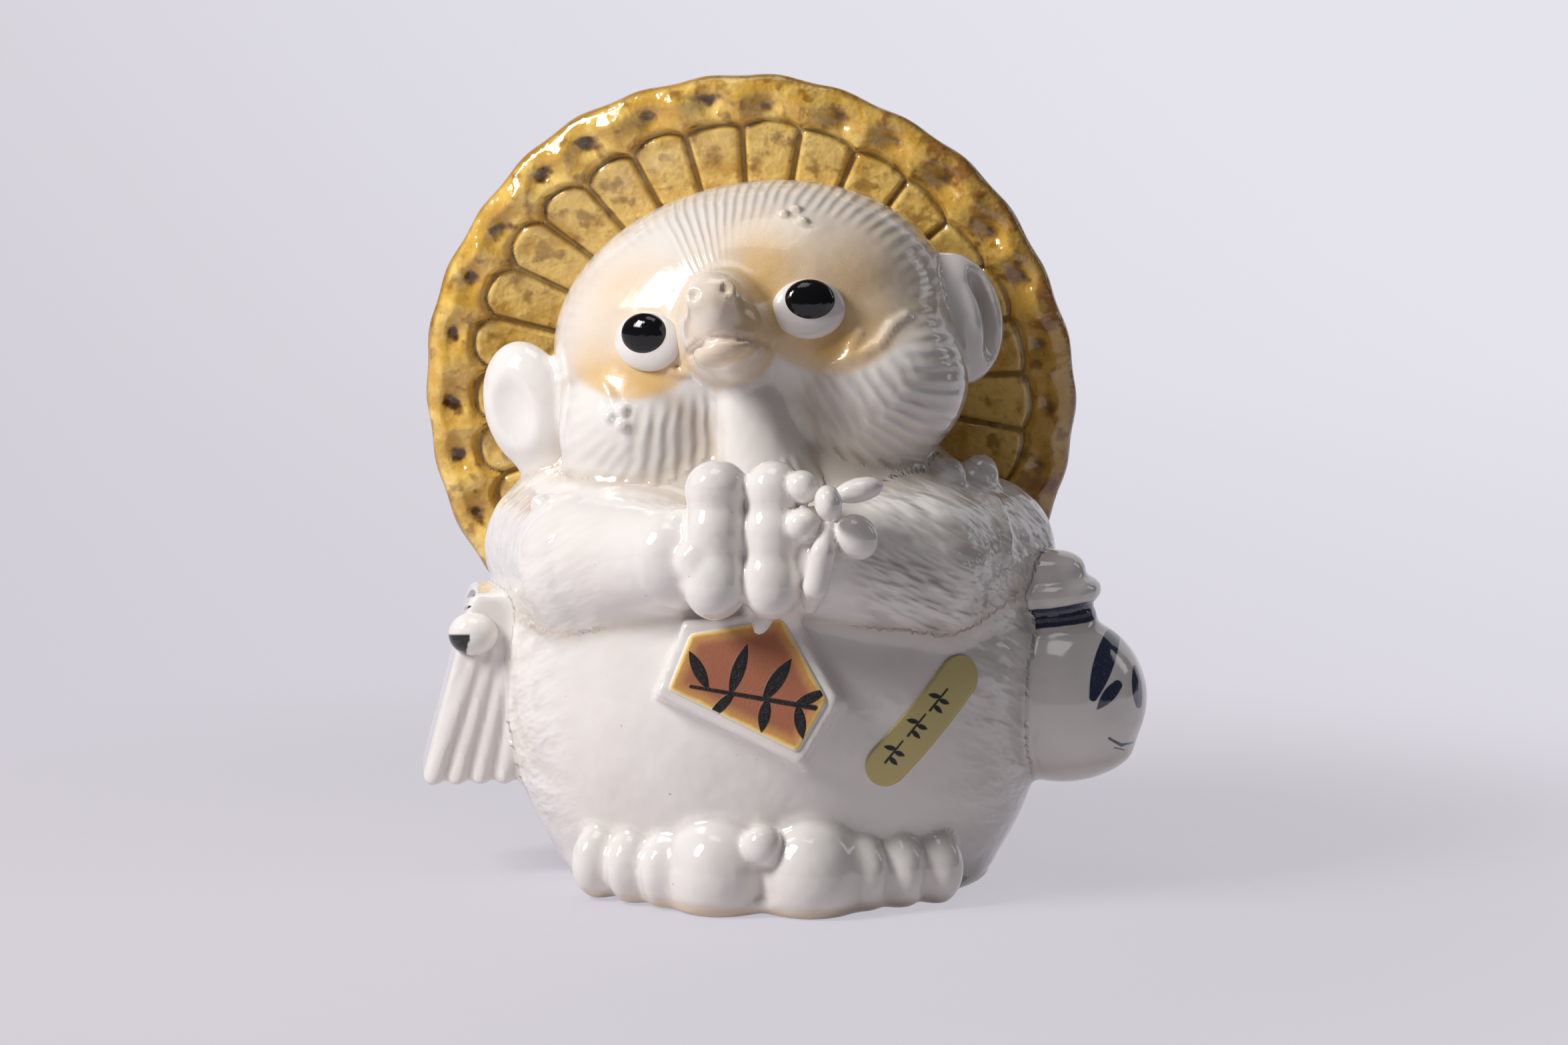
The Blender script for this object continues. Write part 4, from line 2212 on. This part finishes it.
@dataclass(frozen=True)
class Studio:
    """Camera, lights and a pale sweep behind the figure."""

    lamps: tuple[Lamp, ...] = (
        Lamp("key", -57.0, 36.0, 1000.0, (260.0, 380.0), 9.4),
        Lamp("top", -20.0, 80.0, 1100.0, (500.0, 500.0), 1.6),
        Lamp("side", 112.0, 25.0, 1200.0, (200.0, 500.0), 0.5),
    )
    air: tuple[int, int, int] = (229, 228, 236)
    dusk: tuple[int, int, int] = (206, 201, 210)
    floor: tuple[int, int, int] = (222, 217, 222)
    glow: float = 0.09
    near: float = 0.75
    clear: Pair = (170.0, 420.0)
    reach: float = 2500.0
    sweep: float = 600.0
    sweep_steps: int = 24
    wall: float = 1700.0
    slope: Triple = (0.9, 0.35, 0.7)
    fade: Pair = (-700.0, 1200.0)

    def build(self) -> None:
        """Set the stage."""
        data = bpy.data.cameras.new("camera")
        data.lens, data.sensor_width = PHOTO.lens, PHOTO.sensor
        camera = bpy.data.objects.new("camera", data)
        bpy.context.scene.collection.objects.link(camera)
        aim(camera, PHOTO.eye, np.array(PHOTO.target))
        bpy.context.scene.camera = camera
        for lamp in self.lamps:
            lamp.build()
        air = Graph("air", bpy.data.worlds.new("air"))
        looked = Wire(air, air.node("ShaderNodeLightPath").outputs["Is Camera Ray"])
        bpy.context.scene.world = air.finish(
            {"Color": (*linear(*self.air), 1.0)}, Strength=self.glow + looked * (1.0 - self.glow))
        bpy.context.scene.view_settings.view_transform = "Standard"
        self._sweep()

    def _sweep(self) -> bpy.types.Object:
        """Floor that curves up into a wall, bright to the camera away from the figure."""
        line = [(-self.reach, 0.0)]
        for step in range(self.sweep_steps + 1):
            bend = math.pi / 2 * step / self.sweep_steps
            line.append((self.wall + self.sweep * math.sin(bend), self.sweep * (1 - math.cos(bend))))
        line.append((self.wall + self.sweep, self.reach))
        points = np.array([(x, y, z) for y, z in line for x in (-self.reach, self.reach)])
        faces = [(2 * k, 2 * k + 1, 2 * k + 3, 2 * k + 2) for k in range(len(line) - 1)]
        floor = add_mesh("floor", points, faces)
        graph = Graph("paper")
        x, y, z = graph.position()
        cloud = graph.noise(graph.vector(x, y, z), 0.05, 3.0)
        paper = linear(*self.floor)
        tint = graph.mix(paper, tuple(c * 0.97 for c in paper), cloud)
        away = ((x * x + y * y).root() + z).grade(*self.clear)
        share = graph.seen() * (self.near + away * (1.0 - self.near))
        lit = graph.mix(tint, (0.0, 0.0, 0.0), share)
        across = sum(axis * share for axis, share in zip((x, y, z), self.slope))
        light = graph.mix(linear(*self.dusk), linear(*self.air), across.grade(*self.fade))
        glow = graph.mix((0.0, 0.0, 0.0), light, share)
        plain = {"Roughness": 0.8, "Specular IOR Level": 0.0, "Emission Strength": 1.0}
        floor.data.materials.append(graph.finish(plain, Base_Color=lit, Emission_Color=glow))
        return floor


# Assembly

STANDS_FOR = {"body": ("body_front", "body_back"), "head": ("head_front", "head_back")}
FINE_VOXEL, QUICK_VOXEL = 1.2, 2.2


class Slot(Enum):
    """The record's slots for finishes."""

    white = "white_glaze"
    straw = "straw_glaze"
    pupil = "pupil_glaze"
    cord = "cord_glaze"
    clay = "bare_clay"
    paper = "label_paper"


def settle(piece: bpy.types.Object, node: str, material: bpy.types.Material) -> None:
    """Give a piece its finish and its place in the frame.

    Args:
        piece: The piece.
        node: The node that it stands for.
        material: Its material.
    """
    piece.data.materials.append(material)
    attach(piece, "root")
    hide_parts(*STANDS_FOR.get(node, (node,)))


def dress(sculpt: Sculpt, material: bpy.types.Material) -> None:
    """Make a small sculpt's piece and settle it."""
    for node, piece in part_skin(sculpt.skin(), sculpt.names).items():
        settle(piece, node, material)


@dataclass(frozen=True)
class Figure:
    """The white figure: its sub-assemblies, joined under one skin of glaze."""

    body: Body = Body()
    head: Head = Head()
    muzzle: Muzzle = Muzzle()
    ears: Ears = Ears()
    arms: Arms = Arms()
    hangings: Hangings = Hangings()
    base: Base = Base()
    plaque: Plaque = Plaque()
    trimmings: Trimmings = Trimmings()
    coat: Coat = Coat()

    def sculpt(self, voxel: float) -> Sculpt:
        """Join the lumps in order: trimmings lie on the rest, and the drip on the plate as well.

        Args:
            voxel: Size of the cells in which the skin is found.

        Returns:
            The sculpt.
        """
        body, head = self.body, self.head
        lumps = [
            *body.lumps(), self.plaque.bed(body), *head.lumps(), *self.muzzle.lumps(head),
            *self.ears.lumps(head), *self.arms.lumps(), *self.hangings.lumps(body), *self.base.lumps(body),
            *body.hollow()]
        lumps += self.trimmings.lumps(Sculpt(lumps, voxel)) + [self._drip(lumps, voxel)]
        return Sculpt(lumps, voxel)

    def _drip(self, lumps: list[Lump], voxel: float) -> Lump:
        """Drip of glaze over the plaque's top."""
        plate = Lump("plaque", self.plaque.form(self.body))
        return self.plaque.drip.lump(Sculpt([*lumps, plate], voxel))

    def build(self, sculpt: Sculpt, white: bpy.types.Material) -> None:
        """Glaze the sculpt and part it into its pieces.

        Args:
            sculpt: The figure's sculpt.
            white: The white glaze.
        """
        skin = sculpt.skin()
        LOG.info("skin: %d points, %d faces", len(skin.points), len(skin.faces))
        skin.normals = face_normals(skin.points, skin.faces)
        self.coat.mark(skin, sculpt, self.head)
        flask, book = FlaskPaint(self.hangings.flask), BookPaint(self.hangings.book)
        painted = {
            "bottle": WhiteGlaze("flask_glaze", self.head, flask).material(),
            "account_book": WhiteGlaze("book_glaze", self.head, book).material(),
        }
        cores = {"body": self.body.core, "head": self.head.place.origin, **self.arms.cores()}
        for node, piece in part_skin(skin, sculpt.names, cores).items():
            settle(piece, node, painted.get(node, white))


def main() -> None:
    """Build the pieces in order, then the stage."""
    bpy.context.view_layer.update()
    figure, label, hat = Figure(), Label(), Hat()
    body, head, plaque = figure.body, figure.head, figure.plaque
    white = WhiteGlaze("white_glaze", head).material()
    sculpt = figure.sculpt(FINE_VOXEL)
    figure.build(sculpt, white)
    black = BeadGlaze("pupil_glaze", Glaze.black).material()
    for ball, bead in Eyes().sculpts(head):
        dress(ball, white)
        dress(bead, black)
    for node, piece in part_skin(plaque.skin(body), ["plaque"]).items():
        settle(piece, node, BareClay(plaque).material())
    settle(label.build(body, sculpt), "belly_label", LabelPaper(label).material())
    settle(hat.build(head, body), "hat", StrawGlaze(hat).material())
    dress(figure.hangings.knot(), WhiteGlaze("cord_glaze", head, KnotPaint()).material())
    Studio().build()


if __name__ == "__main__":
    main()
